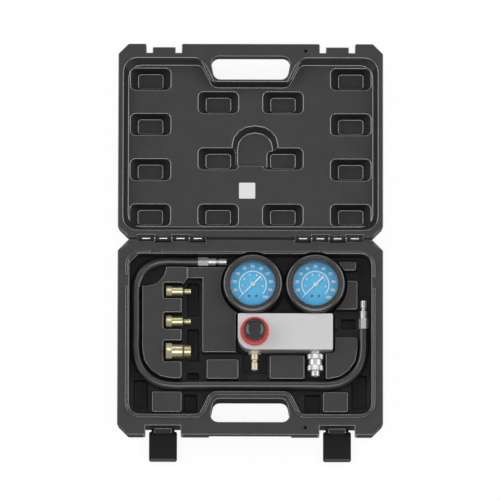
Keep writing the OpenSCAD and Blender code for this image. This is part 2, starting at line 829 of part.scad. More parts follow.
// Wire coil along +Z
coil_rings = 16;
coil_sides = 6;
function coil_centre(r, z0, z1, turns, i) =
    let (angle = 360 * i / coil_rings)
    [r * cos(angle), r * sin(angle), z0 + (z1 - z0) * i / (turns * coil_rings)];
function coil_gap(r, wire, z0, z1, turns) =
    min([for (i = [0 : turns * coil_rings], j = [i + coil_rings / 2 : 1 : turns * coil_rings])
        norm(coil_centre(r, z0, z1, turns, i) - coil_centre(r, z0, z1, turns, j)) - wire]);
module coil(mean_d, wire, z0, z1, turns) {
    r = mean_d / 2;
    low = z0 + wire / 2;
    high = z1 - wire / 2;
    last = turns * coil_rings;
    lean = atan((high - low) / turns / (2 * PI * r));
    points = [for (i = [0 : last], k = [0 : coil_sides - 1])
        let (angle = 360 * i / coil_rings,
             round = 360 * k / coil_sides,
             out = [cos(angle), sin(angle), 0],
             up = [sin(angle) * sin(lean), -cos(angle) * sin(lean), cos(lean)])
        coil_centre(r, low, high, turns, i) + wire / 2 * (cos(round) * out + sin(round) * up)];
    sides = [for (i = [0 : last - 1], k = [0 : coil_sides - 1])
        let (next = (k + 1) % coil_sides,
             a = i * coil_sides + k,
             b = i * coil_sides + next)
        each [[a, b, a + coil_sides], [b, b + coil_sides, a + coil_sides]]];
    caps = [for (k = [1 : coil_sides - 2])
        each [[0, k + 1, k], [last * coil_sides, last * coil_sides + k, last * coil_sides + k + 1]]];
    echo(least_coil_gap = coil_gap(r, wire, low, high, turns));
    polyhedron(points, concat(sides, caps));
}

// Pressure regulator, from the block up
bonnet_z = block_top - bonnet_seat;
bonnet_top = block_top + 13;
bonnet_cap = 3;
bonnet_wall = 2;
bonnet_bore_d = bonnet_d - 2 * bonnet_wall;
run_gap = 0.3;
collar_t = 1.5;
collar_d = screw_d + 3;
nut_t = 4.5;
nut_top = bonnet_top - bonnet_cap - collar_t - 2 * run_gap;
nut_z = nut_top - nut_t;
piston_z = seat_top + 5;
piston_t = 4;
piston_top = piston_z + piston_t;
screw_low = nut_z - nut_travel - 2;
knob_z = block_top + ring_h + 0.5;
knob_top = knob_z + knob_h;
screw_top = knob_top - 3;
module at_regulator() {
    translate([knob_x, knob_y, 0])
        children();
}
module drum(d, z0, z1) {
    translate([0, 0, z0])
        cylinder(d = d, h = z1 - z0);
}
module bonnet() {
    color(steel)
        at_regulator()
            difference() {
                drum(bonnet_d, bonnet_z, bonnet_top);
                drum(bonnet_bore_d, bonnet_z - over, bonnet_top - bonnet_cap);
                drum(screw_d + 2 * pin_fit, bonnet_z, bonnet_top + over);
            }
}
module lock_ring() {
    edge = 1;
    inner = bonnet_d / 2 + press_fit;
    color([0.8, 0.1, 0.1])
        at_regulator()
            translate([0, 0, block_top])
                rotate_extrude()
                    polygon([[inner, 0], [ring_d / 2, 0], [ring_d / 2, ring_h - edge],
                        [ring_d / 2 - edge, ring_h], [inner, ring_h]]);
}
knob_flutes = 20;
flute_d = 2;
dish_depth = 2;
dish_rim = 3;
knob_bore_room = 0.6;
knob_edge = 1.2;
module knob() {
    bore_top = bonnet_top + over;
    r = knob_d / 2;
    color(black)
        at_regulator()
            difference() {
                rotate_extrude()
                    polygon([[0, knob_z], [r, knob_z], [r, knob_top - knob_edge], [r - knob_edge, knob_top],
                        [r - dish_rim, knob_top], [r - 2 * dish_rim, knob_top - dish_depth],
                        [0, knob_top - dish_depth]]);
                drum(bonnet_d + 2 * knob_bore_room, knob_z - over, bore_top);
                drum(screw_d + 2 * press_fit, knob_z, screw_top);
                for (i = [0 : knob_flutes - 1])
                    rotate(360 * i / knob_flutes)
                        translate([r + flute_d / 4, 0, knob_z + knob_edge])
                            cylinder(d = flute_d, h = knob_h);
            }
}
module adjusting_screw() {
    color(steel)
        at_regulator() {
            drum(screw_d, screw_low, screw_top - press_fit);
            drum(collar_d, nut_top + run_gap, nut_top + run_gap + collar_t);
        }
}
module spring_nut() {
    color(brass)
        at_regulator()
            difference() {
                drum(bonnet_bore_d - 2 * pin_fit, nut_z, nut_top);
                drum(screw_d + 2 * pin_fit, nut_z - over, nut_top + over);
            }
}
range_turns = 4;
range_wire = 1.6;
range_coil_d = 13.6;
module range_spring() {
    color(steel)
        at_regulator()
            coil(range_coil_d, range_wire, piston_top + run_gap / 3, nut_z - run_gap / 3, range_turns);
}
stem_d = 2.4;
poppet_d = 7;
poppet_t = 1.8;
poppet_lift = 0.2;
poppet_top = seat_z - poppet_lift;
module valve_piston() {
    color(steel)
        at_regulator() {
            drum(bonnet_d - 2 * pin_fit, piston_z, piston_top);
            drum(stem_d, poppet_top, piston_z + over);
        }
}
module valve_seat() {
    color(brass)
        at_regulator()
            difference() {
                drum(seat_d, seat_z, seat_top);
                drum(stem_d + 2.4, seat_z - over, seat_top + over);
            }
}
module poppet() {
    color(brass)
        at_regulator()
            translate([0, 0, poppet_top])
                mirror([0, 0, 1])
                    cylinder(d1 = poppet_d - 1, d2 = poppet_d, h = poppet_t);
}
plug_cup_d = 8;
plug_floor = 1;
valve_room = 0.4;
plug_top = poppet_top - poppet_t - valve_travel - valve_room;
module bottom_plug() {
    color(brass)
        at_regulator()
            difference() {
                drum(chamber_d, block_z, plug_top);
                drum(plug_cup_d, block_z + plug_floor, plug_top + over);
            }
}
poppet_turns = 3;
poppet_wire = 0.6;
poppet_coil_d = 5;
module poppet_spring() {
    color(steel)
        at_regulator()
            coil(poppet_coil_d, poppet_wire, block_z + plug_floor + run_gap / 3,
                poppet_top - poppet_t - run_gap / 3, poppet_turns);
}

// Quick coupler along the block's front, with a sleeve that draws back
collar_run = 0.05;
coupler_collar_d = 12.8;
coupler_barrel_d = 10.1;
coupler_nose_d = 11.2;
sleeve_gap = 0.5;
sleeve_z = sleeve_travel + sleeve_gap;
coupler_collar_l = sleeve_z + 3;
sleeve_step = sleeve_z + sleeve_l - 6.3;
coupler_l = sleeve_z + sleeve_l + 6.2;
coupler_bore_l = 14.8;
coupler_seal_t = 1.2;
seal_groove = 0.3;
coupler_seal_hole = 6;
seal_low = coupler_l - coupler_bore_l - coupler_seal_t;
ball_count = 6;
ball_d = 1.46;
ball_z = sleeve_step + 3;
module at_coupler() {
    along_front(gauge_x[1], -block_front, port_z)
        children();
}
module at_balls() {
    for (i = [0 : ball_count - 1])
        rotate(360 * i / ball_count)
            translate([(coupler_bore_d + coupler_nose_d) / 4, 0, ball_z])
                children();
}
module coupler_body() {
    color(steel)
        at_coupler()
            difference() {
                union() {
                    drum(coupler_thread_d, over - port_l, 0);
                    drum(coupler_collar_d, -over / 2, coupler_collar_l);
                    drum(coupler_barrel_d, 0, coupler_l - over);
                    drum(coupler_nose_d, sleeve_step - run_gap, coupler_l);
                }
                drum(coupler_bore_d, coupler_l - coupler_bore_l, coupler_l + over);
                drum(coupler_bore_d + 2 * seal_groove, seal_low, seal_low + coupler_seal_t);
                drum(passage_d, -port_l, coupler_l);
                at_balls()
                    rotate([0, 90, 0])
                        cylinder(d = ball_d + 2 * press_fit, h = coupler_nose_d / 2, center = true);
            }
}
sleeve_ring_l = 6.6;
sleeve_waist_d = 16.8;
sleeve_edge = 0.8;
module coupler_sleeve() {
    ring = sleeve_d / 2;
    waist = sleeve_waist_d / 2;
    back = coupler_collar_d / 2 + collar_run;
    front = coupler_nose_d / 2 + collar_run;
    end = sleeve_z + sleeve_l;
    color(steel)
        at_coupler()
            rotate_extrude()
                polygon([[back, sleeve_z], [ring - sleeve_edge, sleeve_z], [ring, sleeve_z + sleeve_edge],
                    [ring, sleeve_z + sleeve_ring_l], [waist, sleeve_z + sleeve_ring_l + sleeve_edge],
                    [waist, end - sleeve_ring_l - sleeve_edge], [ring, end - sleeve_ring_l],
                    [ring, end - sleeve_edge], [ring - sleeve_edge, end], [front, end],
                    [front, sleeve_step], [back, sleeve_step]]);
}
sleeve_turns = 4;
sleeve_wire = 0.7;
module sleeve_spring() {
    color(steel)
        at_coupler()
            coil((coupler_collar_d + coupler_barrel_d) / 2, sleeve_wire, coupler_collar_l + run_gap / 3,
                sleeve_step - run_gap, sleeve_turns);
}
module coupler_balls() {
    color(steel)
        at_coupler()
            at_balls()
                sphere(d = ball_d, $fn = 32);
}
module coupler_seal() {
    color(black)
        at_coupler()
            difference() {
                drum(coupler_bore_d + 2 * (seal_groove - press_fit), seal_low, seal_low + coupler_seal_t);
                drum(coupler_seal_hole, seal_low - over, seal_low + coupler_seal_t + over);
            }
}

// Gauges: heights count from the back of the boot
boot_back = 2.5;
boot_back_hole = 40;
boot_lip = 1.4;
boot_lip_r = bezel_d / 2 - 1.7;
boot_edge = 2;
boot_fit = 0.05;
cup_z = boot_back + 0.1;
cup_wall = 1.1;
cup_back = 1.2;
ledge_r = case_cup_d / 2 - 2.8;
ledge_t = 1.5;
dial_z = 21.05;
dial_t = 0.8;
dial_fit = 0.1;
lens_z = boot_h - 4.95;
lens_t = 1.95;
stack_gap = 0.05;
bezel_top = boot_h - boot_lip - 0.1;
bezel_skirt = 9;
bezel_edge = 0.7;
stem_room = 2;
module at_gauge(i) {
    translate([gauge_x[i], gauge_y, block_z])
        children();
}
module stem_hole(d) {
    along_front(0, -ledge_r / 2, port_h)
        cylinder(d = d, h = boot_r);
}
module gauge_boot(i) {
    inner = bezel_d / 2 + boot_fit;
    color(black)
        at_gauge(i)
            difference() {
                rotate_extrude()
                    polygon([[boot_back_hole / 2, 0], [boot_r - boot_edge, 0], [boot_r, boot_edge],
                        [boot_r, boot_h - 1.5 * boot_edge], [boot_r - boot_edge / 2, boot_h - boot_edge / 2],
                        [boot_r - 1.5 * boot_edge, boot_h], [boot_lip_r, boot_h],
                        [boot_lip_r, boot_h - boot_lip], [inner, boot_h - boot_lip], [inner, boot_back],
                        [boot_back_hole / 2, boot_back]]);
                stem_hole(socket_d + stem_room);
            }
}
module gauge_case(i) {
    r = case_cup_d / 2;
    color([0.1, 0.1, 0.1])
        at_gauge(i)
            difference() {
                rotate_extrude()
                    polygon([[0, cup_z], [r, cup_z], [r, lens_z - stack_gap],
                        [r - cup_wall, lens_z - stack_gap], [r - cup_wall, dial_z - stack_gap],
                        [ledge_r, dial_z - stack_gap],
                        [ledge_r, dial_z - ledge_t], [r - cup_wall, dial_z - ledge_t],
                        [r - cup_wall, cup_z + cup_back], [0, cup_z + cup_back]]);
                stem_hole(socket_d + thread_clear);
            }
}
module gauge_lens(i) {
    color([0.9, 0.95, 1, 0.3])
        at_gauge(i)
            drum(case_cup_d - 2 * dial_fit, lens_z, lens_z + lens_t);
}
module gauge_bezel(i) {
    r = bezel_d / 2;
    inner = case_cup_d / 2 + stack_gap;
    view = case_cup_d / 2 - view_rim;
    seat = lens_z + lens_t + stack_gap;
    color([0.12, 0.12, 0.12])
        at_gauge(i)
            rotate_extrude()
                polygon([[inner, bezel_top - bezel_skirt], [r, bezel_top - bezel_skirt],
                    [r, bezel_top - bezel_edge], [r - bezel_edge, bezel_top], [view + bezel_edge, bezel_top],
                    [view, bezel_top - bezel_edge], [view, seat], [inner, seat]]);
}
module gauge_dial(i) {
    color([0.2, 0.6, 0.85])
        at_gauge(i)
            difference() {
                drum(case_cup_d - 2 * cup_wall - 2 * dial_fit, dial_z, dial_z + dial_t);
                drum(2 * arbor_d, dial_z - over, dial_z + dial_t + over);
            }
}
socket_block_w = 16;
socket_block_y = case_cup_d / 2 - cup_wall - 2;
socket_face_y = 17;
socket_root_y = socket_block_y - 3;
socket_low = port_h - 6;
socket_high = port_h + 3.5;
socket_bore_d = 3;
module gauge_socket(i) {
    reach = boot_r + boot_gap + socket_l - 0.5;
    color(brass)
        at_gauge(i)
            difference() {
                union() {
                    translate([-socket_block_w / 2, -socket_block_y, socket_low])
                        cube([socket_block_w, socket_block_y - socket_face_y, socket_high - socket_low]);
                    along_front(0, -socket_root_y, port_h)
                        cylinder(d = socket_d, h = reach - socket_root_y);
                }
                along_front(0, -socket_face_y - 4, port_h)
                    cylinder(d = socket_bore_d, h = reach);
            }
}
tube_t = 2.4;
tube_h = 6;
tube_sweep = 235.4;
tube_start = 0.1;
tube_tip_l = 4;
module bourdon_tube(i) {
    start = asin(socket_block_w / (bourdon_d - tube_t)) + tube_start - 90;
    color(brass)
        at_gauge(i)
            translate([0, 0, port_h - tube_h / 2])
                rotate(start) {
                    rotate_extrude(angle = tube_sweep)
                        translate([(bourdon_d - tube_t) / 2, 0])
                            square([tube_t, tube_h]);
                    rotate(tube_sweep)
                        translate([bourdon_d / 2 - tube_t, -stack_gap, tube_h / 4])
                            cube([tube_t / 2, tube_tip_l, tube_h / 2]);
                }
}

// Movement: a sector gear turns the pinion on the pointer's arbor
pinion_r = tooth_module * pinion_teeth / 2;
sector_r = tooth_module * sector_teeth / 2;
gear_distance = pinion_r + sector_r;
tooth_up = 0.7 * tooth_module;
tooth_down = 1.2 * tooth_module;
tooth_root_w = 1.3 * tooth_module;
tooth_tip_w = 0.5 * tooth_module;
arbor_d = 1.6;
pivot_d = 2;
plate_t = 1;
plate_low = port_h - 4.5;
plate_high = socket_high + 0.1;
plate_w = 12;
plate_front = 6;
pillar_d = 2.4;
gear_z = port_h - 0.8;
gear_t = 1.2;
function tooth(r, angle) =
    let (root = r - tooth_down,
         tip = r + tooth_up,
         root_half = asin(tooth_root_w / 2 / root),
         tip_half = asin(tooth_tip_w / 2 / tip))
    [[root, angle - root_half], [tip, angle - tip_half], [tip, angle + tip_half], [root, angle + root_half]];
function turned(polar) = [for (p = polar) p[0] * [cos(p[1]), sin(p[1])]];
pillar_inset = 0.3;
pillar_x = (plate_w - pillar_d) / 2 - pillar_inset;
pillar_y = plate_front - pillar_d / 2 - pillar_inset;
module movement_frame(i) {
    color(brass)
        at_gauge(i)
            difference() {
                union() {
                    translate([-plate_w / 2, -socket_face_y + stack_gap, plate_low])
                        cube([plate_w, socket_face_y + plate_front, plate_t]);
                    translate([-plate_w / 2, -socket_face_y - 3, plate_high])
                        cube([plate_w, socket_face_y + 3 + plate_front, plate_t]);
                    for (side = [-1, 1])
                        translate([side * pillar_x, pillar_y, plate_low])
                            cylinder(d = pillar_d, h = plate_high - plate_low + plate_t / 2);
                }
                drum(arbor_d + 2 * pin_fit, plate_low - over, plate_high + 2 * plate_t);
                translate([0, -gear_distance, 0])
                    drum(pivot_d + 2 * pin_fit, plate_low - over, plate_high + 2 * plate_t);
            }
}
sector_hub_d = 3.4;
sector_spare_teeth = 2;
tail_l = 9;
tail_w = 2.2;
tail_angle = 150;
module sector_gear(i) {
    pitch = 360 / sector_teeth;
    used = ceil(sector_turn / pitch) + sector_spare_teeth;
    color(brass)
        at_gauge(i)
            translate([0, -gear_distance, 0]) {
                translate([0, 0, gear_z])
                    linear_extrude(height = gear_t)
                        polygon(concat([[0, 0]], turned([for (k = [-used : sector_spare_teeth])
                            each tooth(sector_r, 90 + k * pitch)])));
                translate([0, 0, gear_z])
                    rotate(tail_angle)
                        translate([0, -tail_w / 2, 0])
                            cube([tail_l, tail_w, gear_t]);
                drum(sector_hub_d, gear_z - 0.6, gear_z + gear_t + 0.6);
                drum(pivot_d, plate_low + stack_gap, plate_high + plate_t);
            }
}
pointer_angle = 225;
pointer_l = case_cup_d / 2 - view_rim - 3.5;
pointer_tail = 12.6;
pointer_dot_d = 2.6;
pointer_root_w = 1.8;
pointer_tip_w = 0.6;
pointer_t = 0.6;
pointer_z = dial_z + dial_t + 1.2;
pointer_hub_d = 5;
pinion_t = 2;
module pointer(i) {
    pitch = 360 / pinion_teeth;
    color("white")
        at_gauge(i) {
            drum(arbor_d, plate_low + stack_gap, pointer_z + pointer_t);
            translate([0, 0, gear_z - (pinion_t - gear_t) / 2])
                linear_extrude(height = pinion_t)
                    polygon(turned([for (k = [0 : pinion_teeth - 1])
                        each tooth(pinion_r, 270 + (k + 0.5) * pitch)]));
            drum(pointer_hub_d, pointer_z - 0.6, pointer_z + pointer_t + 0.6);
            translate([0, 0, pointer_z])
                rotate(pointer_angle)
                    linear_extrude(height = pointer_t) {
                        polygon([[-pointer_tail, -pointer_root_w / 2], [pointer_l, -pointer_tip_w / 2],
                            [pointer_l, pointer_tip_w / 2], [-pointer_tail, pointer_root_w / 2]]);
                        translate([-pointer_tail, 0])
                            circle(d = pointer_dot_d);
                    }
        }
}

// Whip hose: points of its middle line, chosen by hand, and the sweep along them
hose_route = [
    [-65, hose_top_y], [-85, hose_top_y], [-105, hose_top_y],
    [-117.5, hose_top_y - 2.2], [-130.7, hose_top_y - 10.3], [-139, hose_top_y - 23.5],
    [hose_left_x, 61.5], [hose_left_x, 35], [hose_left_x, 10], [hose_left_x, -14],
    [hose_left_x + 3.5, -31], [-128, -45], [-114, hose_bottom_y + 3.5],
    [-97, hose_bottom_y], [-70, hose_bottom_y], [-40, hose_bottom_y], [-10, hose_bottom_y],
    [20, hose_bottom_y], [50, hose_bottom_y], [75, hose_bottom_y], [96, hose_bottom_y],
    [113, hose_bottom_y + 3.5], [127, -45], [hose_right_x - 3.5, -31],
    [hose_right_x, -14], [hose_right_x, 0], [hose_right_x, 13]];
hose_sides = 12;
function route_heading(i) =
    let (last = len(hose_route) - 1)
    i == 0 ? unit(hose_route[1] - hose_route[0])
    : i == last ? unit(hose_route[last] - hose_route[last - 1])
    : unit(unit(hose_route[i] - hose_route[i - 1]) + unit(hose_route[i + 1] - hose_route[i]));
module hose_tube() {
    last = len(hose_route) - 1;
    points = [for (i = [0 : last], k = [0 : hose_sides - 1])
        let (ahead = route_heading(i),
             round = 360 * (k + 0.5) / hose_sides,
             across = hose_d / 2 * cos(round) * [ahead.y, -ahead.x])
        [hose_route[i].x + across.x, hose_route[i].y + across.y, hose_z + hose_d / 2 * sin(round)]];
    sides = [for (i = [0 : last - 1], k = [0 : hose_sides - 1])
        let (next = (k + 1) % hose_sides,
             a = i * hose_sides + k,
             b = i * hose_sides + next)
        each [[a, a + hose_sides, b], [b, a + hose_sides, b + hose_sides]]];
    caps = [for (k = [1 : hose_sides - 2])
        each [[0, k, k + 1], [last * hose_sides, last * hose_sides + k + 1, last * hose_sides + k]]];
    color(black)
        polyhedron(points, concat(sides, caps));
}
hose_hex_l = 13;
hose_plug_body_d = 9.2;
hose_plug_body_l = 10;
module hose_plug() {
    color(steel)
        air_plug(hose_hex, hose_hex_l, hose_plug_body_d, hose_plug_body_l, 0, 0);
}
module hose_plug_left() {
    along_x(hose_route[0].x, hose_route[0].y, hose_z)
        hose_plug();
}
module hose_plug_right() {
    end = hose_route[len(hose_route) - 1];
    translate([end.x, end.y, hose_z])
        rotate([-90, 0, 0])
            hose_plug();
}

// Adapters along +X: hex head, body, neck with a seal round it, and threaded tip
adapter_seal_t = 1.6;
adapter_seal_out = 0.6;
adapter_edge = 0.8;
adapter_body_end = head_l + adapter_body_l;
module at_adapter(i) {
    translate([-adapter_x, adapter_y[i], channel_z + seat_gap + adapter_head[i] * cos(30) / 2])
        rotate([0, 90, 0])
            rotate(90)
                children();
}
module adapter(i) {
    body = adapter_body[i] / 2;
    tip = adapter_tip[i] / 2;
    neck = tip - adapter_edge;
    neck_end = adapter_body_end + neck_l;
    end = neck_end + tip_length;
    color(brass)
        at_adapter(i)
            difference() {
                union() {
                    cylinder(d = adapter_head[i], h = head_l, $fn = 6);
                    rotate_extrude()
                        polygon([[0, head_l / 2], [body, head_l / 2], [body, adapter_body_end - adapter_edge],
                            [body - adapter_edge, adapter_body_end], [neck, adapter_body_end], [neck, neck_end],
                            [tip, neck_end], [tip, end - adapter_edge], [tip - adapter_edge, end], [0, end]]);
                }
                drum(adapter_bore_d, -over, end + over);
            }
}
module adapter_seal(i) {
    tip = adapter_tip[i] / 2;
    color([0.35, 0.12, 0.08])
        at_adapter(i)
            difference() {
                drum(2 * (tip + adapter_seal_out), adapter_body_end + stack_gap,
                    adapter_body_end + stack_gap + adapter_seal_t);
                drum(2 * (tip - adapter_edge + press_fit), adapter_body_end, adapter_body_end + neck_l);
            }
}

// Left and right gauge pieces, and the three adapters
module gauge_boot_left() { gauge_boot(0); }
module gauge_case_left() { gauge_case(0); }
module gauge_bezel_left() { gauge_bezel(0); }
module gauge_lens_left() { gauge_lens(0); }
module gauge_dial_left() { gauge_dial(0); }
module gauge_socket_left() { gauge_socket(0); }
module bourdon_tube_left() { bourdon_tube(0); }
module movement_frame_left() { movement_frame(0); }
module sector_gear_left() { sector_gear(0); }
module pointer_left() { pointer(0); }
module gauge_boot_right() { gauge_boot(1); }
module gauge_case_right() { gauge_case(1); }
module gauge_bezel_right() { gauge_bezel(1); }
module gauge_lens_right() { gauge_lens(1); }
module gauge_dial_right() { gauge_dial(1); }
module gauge_socket_right() { gauge_socket(1); }
module bourdon_tube_right() { bourdon_tube(1); }
module movement_frame_right() { movement_frame(1); }
module sector_gear_right() { sector_gear(1); }
module pointer_right() { pointer(1); }
module adapter_small() { adapter(0); }
module seal_small() { adapter_seal(0); }
module adapter_medium() { adapter(1); }
module seal_medium() { adapter_seal(1); }
module adapter_large() { adapter(2); }
module seal_large() { adapter_seal(2); }

base_shell();
hinge_pins();
latch_pins();
lid_shell();
latch_left();
latch_right();
manifold_block();
inlet_nipple();
bonnet();
lock_ring();
knob();
adjusting_screw();
spring_nut();
range_spring();
valve_piston();
valve_seat();
poppet();
poppet_spring();
bottom_plug();
metering_jet();
coupler_body();
coupler_sleeve();
sleeve_spring();
coupler_balls();
coupler_seal();
gauge_boot_left();
gauge_case_left();
gauge_bezel_left();
gauge_lens_left();
gauge_dial_left();
gauge_socket_left();
bourdon_tube_left();
movement_frame_left();
sector_gear_left();
pointer_left();
gauge_boot_right();
gauge_case_right();
gauge_bezel_right();
gauge_lens_right();
gauge_dial_right();
gauge_socket_right();
bourdon_tube_right();
movement_frame_right();
sector_gear_right();
pointer_right();
hose_tube();
hose_plug_left();
hose_plug_right();
adapter_small();
adapter_medium();
adapter_large();
seal_small();
seal_medium();
seal_large();
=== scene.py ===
"""Looks of an open leak-down tester kit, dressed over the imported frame."""
from __future__ import annotations

import json
import logging
import math
from contextlib import contextmanager
from dataclasses import dataclass, replace
from enum import Enum
from typing import Any, Callable, Iterator, Sequence

import bpy
from mathutils import Matrix, Vector
from mathutils.bvhtree import BVHTree

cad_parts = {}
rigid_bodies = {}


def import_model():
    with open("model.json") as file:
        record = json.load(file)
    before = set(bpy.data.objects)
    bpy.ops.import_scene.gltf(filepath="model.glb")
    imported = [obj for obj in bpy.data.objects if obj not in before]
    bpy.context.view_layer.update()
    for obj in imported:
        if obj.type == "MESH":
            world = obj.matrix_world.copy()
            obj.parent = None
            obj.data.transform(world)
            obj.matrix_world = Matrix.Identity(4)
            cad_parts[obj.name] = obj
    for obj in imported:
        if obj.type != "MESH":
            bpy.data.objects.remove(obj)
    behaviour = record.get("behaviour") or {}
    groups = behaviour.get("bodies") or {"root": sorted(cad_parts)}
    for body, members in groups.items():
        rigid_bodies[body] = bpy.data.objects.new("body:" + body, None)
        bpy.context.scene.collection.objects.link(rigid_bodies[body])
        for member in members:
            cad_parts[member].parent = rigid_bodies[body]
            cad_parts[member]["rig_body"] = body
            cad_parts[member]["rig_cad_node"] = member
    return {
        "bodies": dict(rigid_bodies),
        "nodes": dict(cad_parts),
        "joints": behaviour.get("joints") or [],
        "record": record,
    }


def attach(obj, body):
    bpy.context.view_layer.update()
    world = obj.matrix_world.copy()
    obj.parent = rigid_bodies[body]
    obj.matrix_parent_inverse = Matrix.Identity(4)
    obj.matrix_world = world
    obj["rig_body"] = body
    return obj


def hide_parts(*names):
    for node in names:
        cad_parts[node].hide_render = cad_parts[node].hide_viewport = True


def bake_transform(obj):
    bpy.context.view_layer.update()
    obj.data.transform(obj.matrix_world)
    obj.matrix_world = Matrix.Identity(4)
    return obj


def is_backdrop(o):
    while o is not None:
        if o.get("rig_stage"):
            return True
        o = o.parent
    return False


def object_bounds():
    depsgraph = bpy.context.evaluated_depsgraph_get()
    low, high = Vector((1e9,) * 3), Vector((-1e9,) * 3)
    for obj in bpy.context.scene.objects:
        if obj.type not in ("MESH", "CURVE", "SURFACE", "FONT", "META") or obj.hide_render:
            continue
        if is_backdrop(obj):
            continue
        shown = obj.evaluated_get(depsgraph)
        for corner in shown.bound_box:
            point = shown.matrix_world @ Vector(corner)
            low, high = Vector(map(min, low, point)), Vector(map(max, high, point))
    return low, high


LOG = logging.getLogger("leak_tester_kit")

Span = tuple[float, float]
Triple = tuple[float, float, float]
Profile = Sequence[Span]
Piece = bpy.types.Object
Face = bpy.types.MeshPolygon
Node = bpy.types.Node
Tree = bpy.types.NodeTree

MM = 0.001
ORIGIN: Triple = (0.0, 0.0, 0.0)
UP: Triple = (0.0, 0.0, 1.0)
ENDS = ("left", "right")
NEVER = 1000.0

# Reach within which corners are merged, in metres.
SOLID_WELD = 0.002 * MM
WELD = 0.001 * MM
PRINT_WELD = 0.0005 * MM


class Grain(Enum):
    """Kind of fine pattern that a finish shows."""

    MOULDED = "moulded_grain"
    STREAKED = "fine_streaks"


class Side(Enum):
    """One of the two gauges, with its place in mm."""

    LEFT = (3.0, 67.75)
    RIGHT = (80.4, 67.75)

    @property
    def label(self) -> str:
        """The word for this gauge in node and piece names."""
        return self.name.lower()


def even(repeats: float) -> Triple:
    """The same number of repeats along all three axes."""
    return repeats, repeats, repeats


@dataclass(frozen=True)
class Finish:
    """A surface as a maker orders it: colour, gloss and fine pattern."""

    name: str
    colour: Triple
    second: Triple
    grain: Grain = Grain.MOULDED
    metallic: float = 0.0
    roughness: float = 0.5
    wander: float = 0.08
    repeats: Triple = even(1400.0)
    relief: float = 0.04
    coat: float = 0.0
    coat_ior: float = 1.5
    specular: float = 0.5


CASE = Finish("case_plastic", (0.053, 0.053, 0.054), (0.066, 0.066, 0.067),
              repeats=even(1500.0), relief=0.05, specular=0.15)
CASE_EDGE = Finish("case_edge", (0.056, 0.056, 0.057), (0.07, 0.07, 0.071), roughness=0.3,
                   repeats=even(1500.0), relief=0.01, coat=1.0, coat_ior=1.9, specular=1.0)
# Painted shade: a darker copy of the case plastic for deep floors, pocket walls and the rim's inner walls,
# where shade falls.
CASE_PAINTED_SHADE = Finish("case_recess", (0.026, 0.026, 0.026), (0.036, 0.036, 0.037), roughness=0.6,
                     repeats=even(1500.0), relief=0.05, specular=0.1)
LATCH = Finish("latch_plastic", (0.005, 0.005, 0.006), (0.01, 0.01, 0.011), roughness=0.42,
               repeats=even(2200.0), relief=0.03, specular=0.2)
# Painted highlight: the latch's hook lip is painted much lighter than the latch, where light falls on its
# slanted face.
LIP_PAINTED_HIGHLIGHT = Finish("latch_lip", (0.07, 0.07, 0.071), (0.09, 0.09, 0.091), repeats=even(2200.0), specular=0.25)
PIN = Finish("pin_steel", (0.66, 0.67, 0.69), (0.54, 0.54, 0.56), Grain.STREAKED, 1.0, 0.25, 0.1,
             (3000.0, 60.0, 60.0), 0.01)
BLOCK = Finish("block_aluminium", (0.68, 0.68, 0.68), (0.63, 0.63, 0.635), Grain.STREAKED, 0.15, 0.5, 0.06,
               (40.0, 2600.0, 2600.0), 0.012)
CHROME = Finish("fitting_chrome", (0.7, 0.705, 0.71), (0.56, 0.565, 0.575), Grain.STREAKED, 0.55, 0.32, 0.06,
                (50.0, 2400.0, 50.0), 0.01)
RING = Finish("ring_red", (0.76, 0.08, 0.07), (0.66, 0.055, 0.05), Grain.STREAKED, 0.0, 0.4, 0.08,
              (1500.0, 1500.0, 60.0), 0.01, coat=0.2)
KNOB = Finish("knob_plastic", (0.012, 0.012, 0.013), (0.022, 0.022, 0.024), roughness=0.34,
              repeats=even(1800.0), relief=0.012, coat=0.3, specular=0.6)
BRASS = Finish("inlet_brass", (0.76, 0.68, 0.5), (0.6, 0.49, 0.31), Grain.STREAKED, 0.45, 0.36, 0.08,
               (50.0, 2400.0, 50.0), 0.01)
ZINC = Finish("adapter_zinc", (0.62, 0.58, 0.36), (0.46, 0.4, 0.2), Grain.STREAKED, 0.8, 0.3, 0.1,
              (2200.0, 50.0, 50.0), 0.01)
SEAL = Finish("seal_rubber", (0.22, 0.06, 0.04), (0.14, 0.04, 0.03), roughness=0.55, relief=0.02)
BOOT = Finish("boot_rubber", (0.022, 0.022, 0.022), (0.036, 0.035, 0.034), roughness=0.32,
              repeats=even(1700.0), relief=0.02, coat=0.7, specular=0.6)
GAUGE = Finish("gauge_black", (0.018, 0.017, 0.016), (0.036, 0.033, 0.03), Grain.STREAKED, 0.1, 0.26, 0.08,
               (900.0, 900.0, 60.0), 0.01, coat=1.0)
WHITE = Finish("pointer_white", (0.9, 0.9, 0.9), (0.86, 0.86, 0.86), roughness=0.45, relief=0.008)
HOSE = Finish("hose_rubber", (0.02, 0.02, 0.02), (0.032, 0.032, 0.032), roughness=0.38,
              repeats=even(1200.0), relief=0.02, coat=0.3, specular=0.6)
SCREW = Finish("screw_bronze", (0.16, 0.1, 0.1), (0.1, 0.06, 0.065), Grain.STREAKED, 0.6, 0.35, 0.08,
               (900.0, 900.0, 60.0), 0.01)
PAPER = Finish("label_paper", (0.84, 0.84, 0.83), (0.74, 0.74, 0.73), roughness=0.6,
               repeats=even(2600.0), relief=0.01)
# second is the paler middle of the dial; the blend out to the darker rim is painted shade under the bezel.
DIAL = Finish("dial_blue", (0.06, 0.42, 0.78), (0.14, 0.57, 0.9), roughness=0.42,
              repeats=even(2400.0), relief=0.006)
FINISHES = {finish.name: finish for finish in (
    CASE, LATCH, PIN, BLOCK, CHROME, RING, KNOB, BRASS, ZINC, SEAL, BOOT, GAUGE, WHITE, HOSE)}


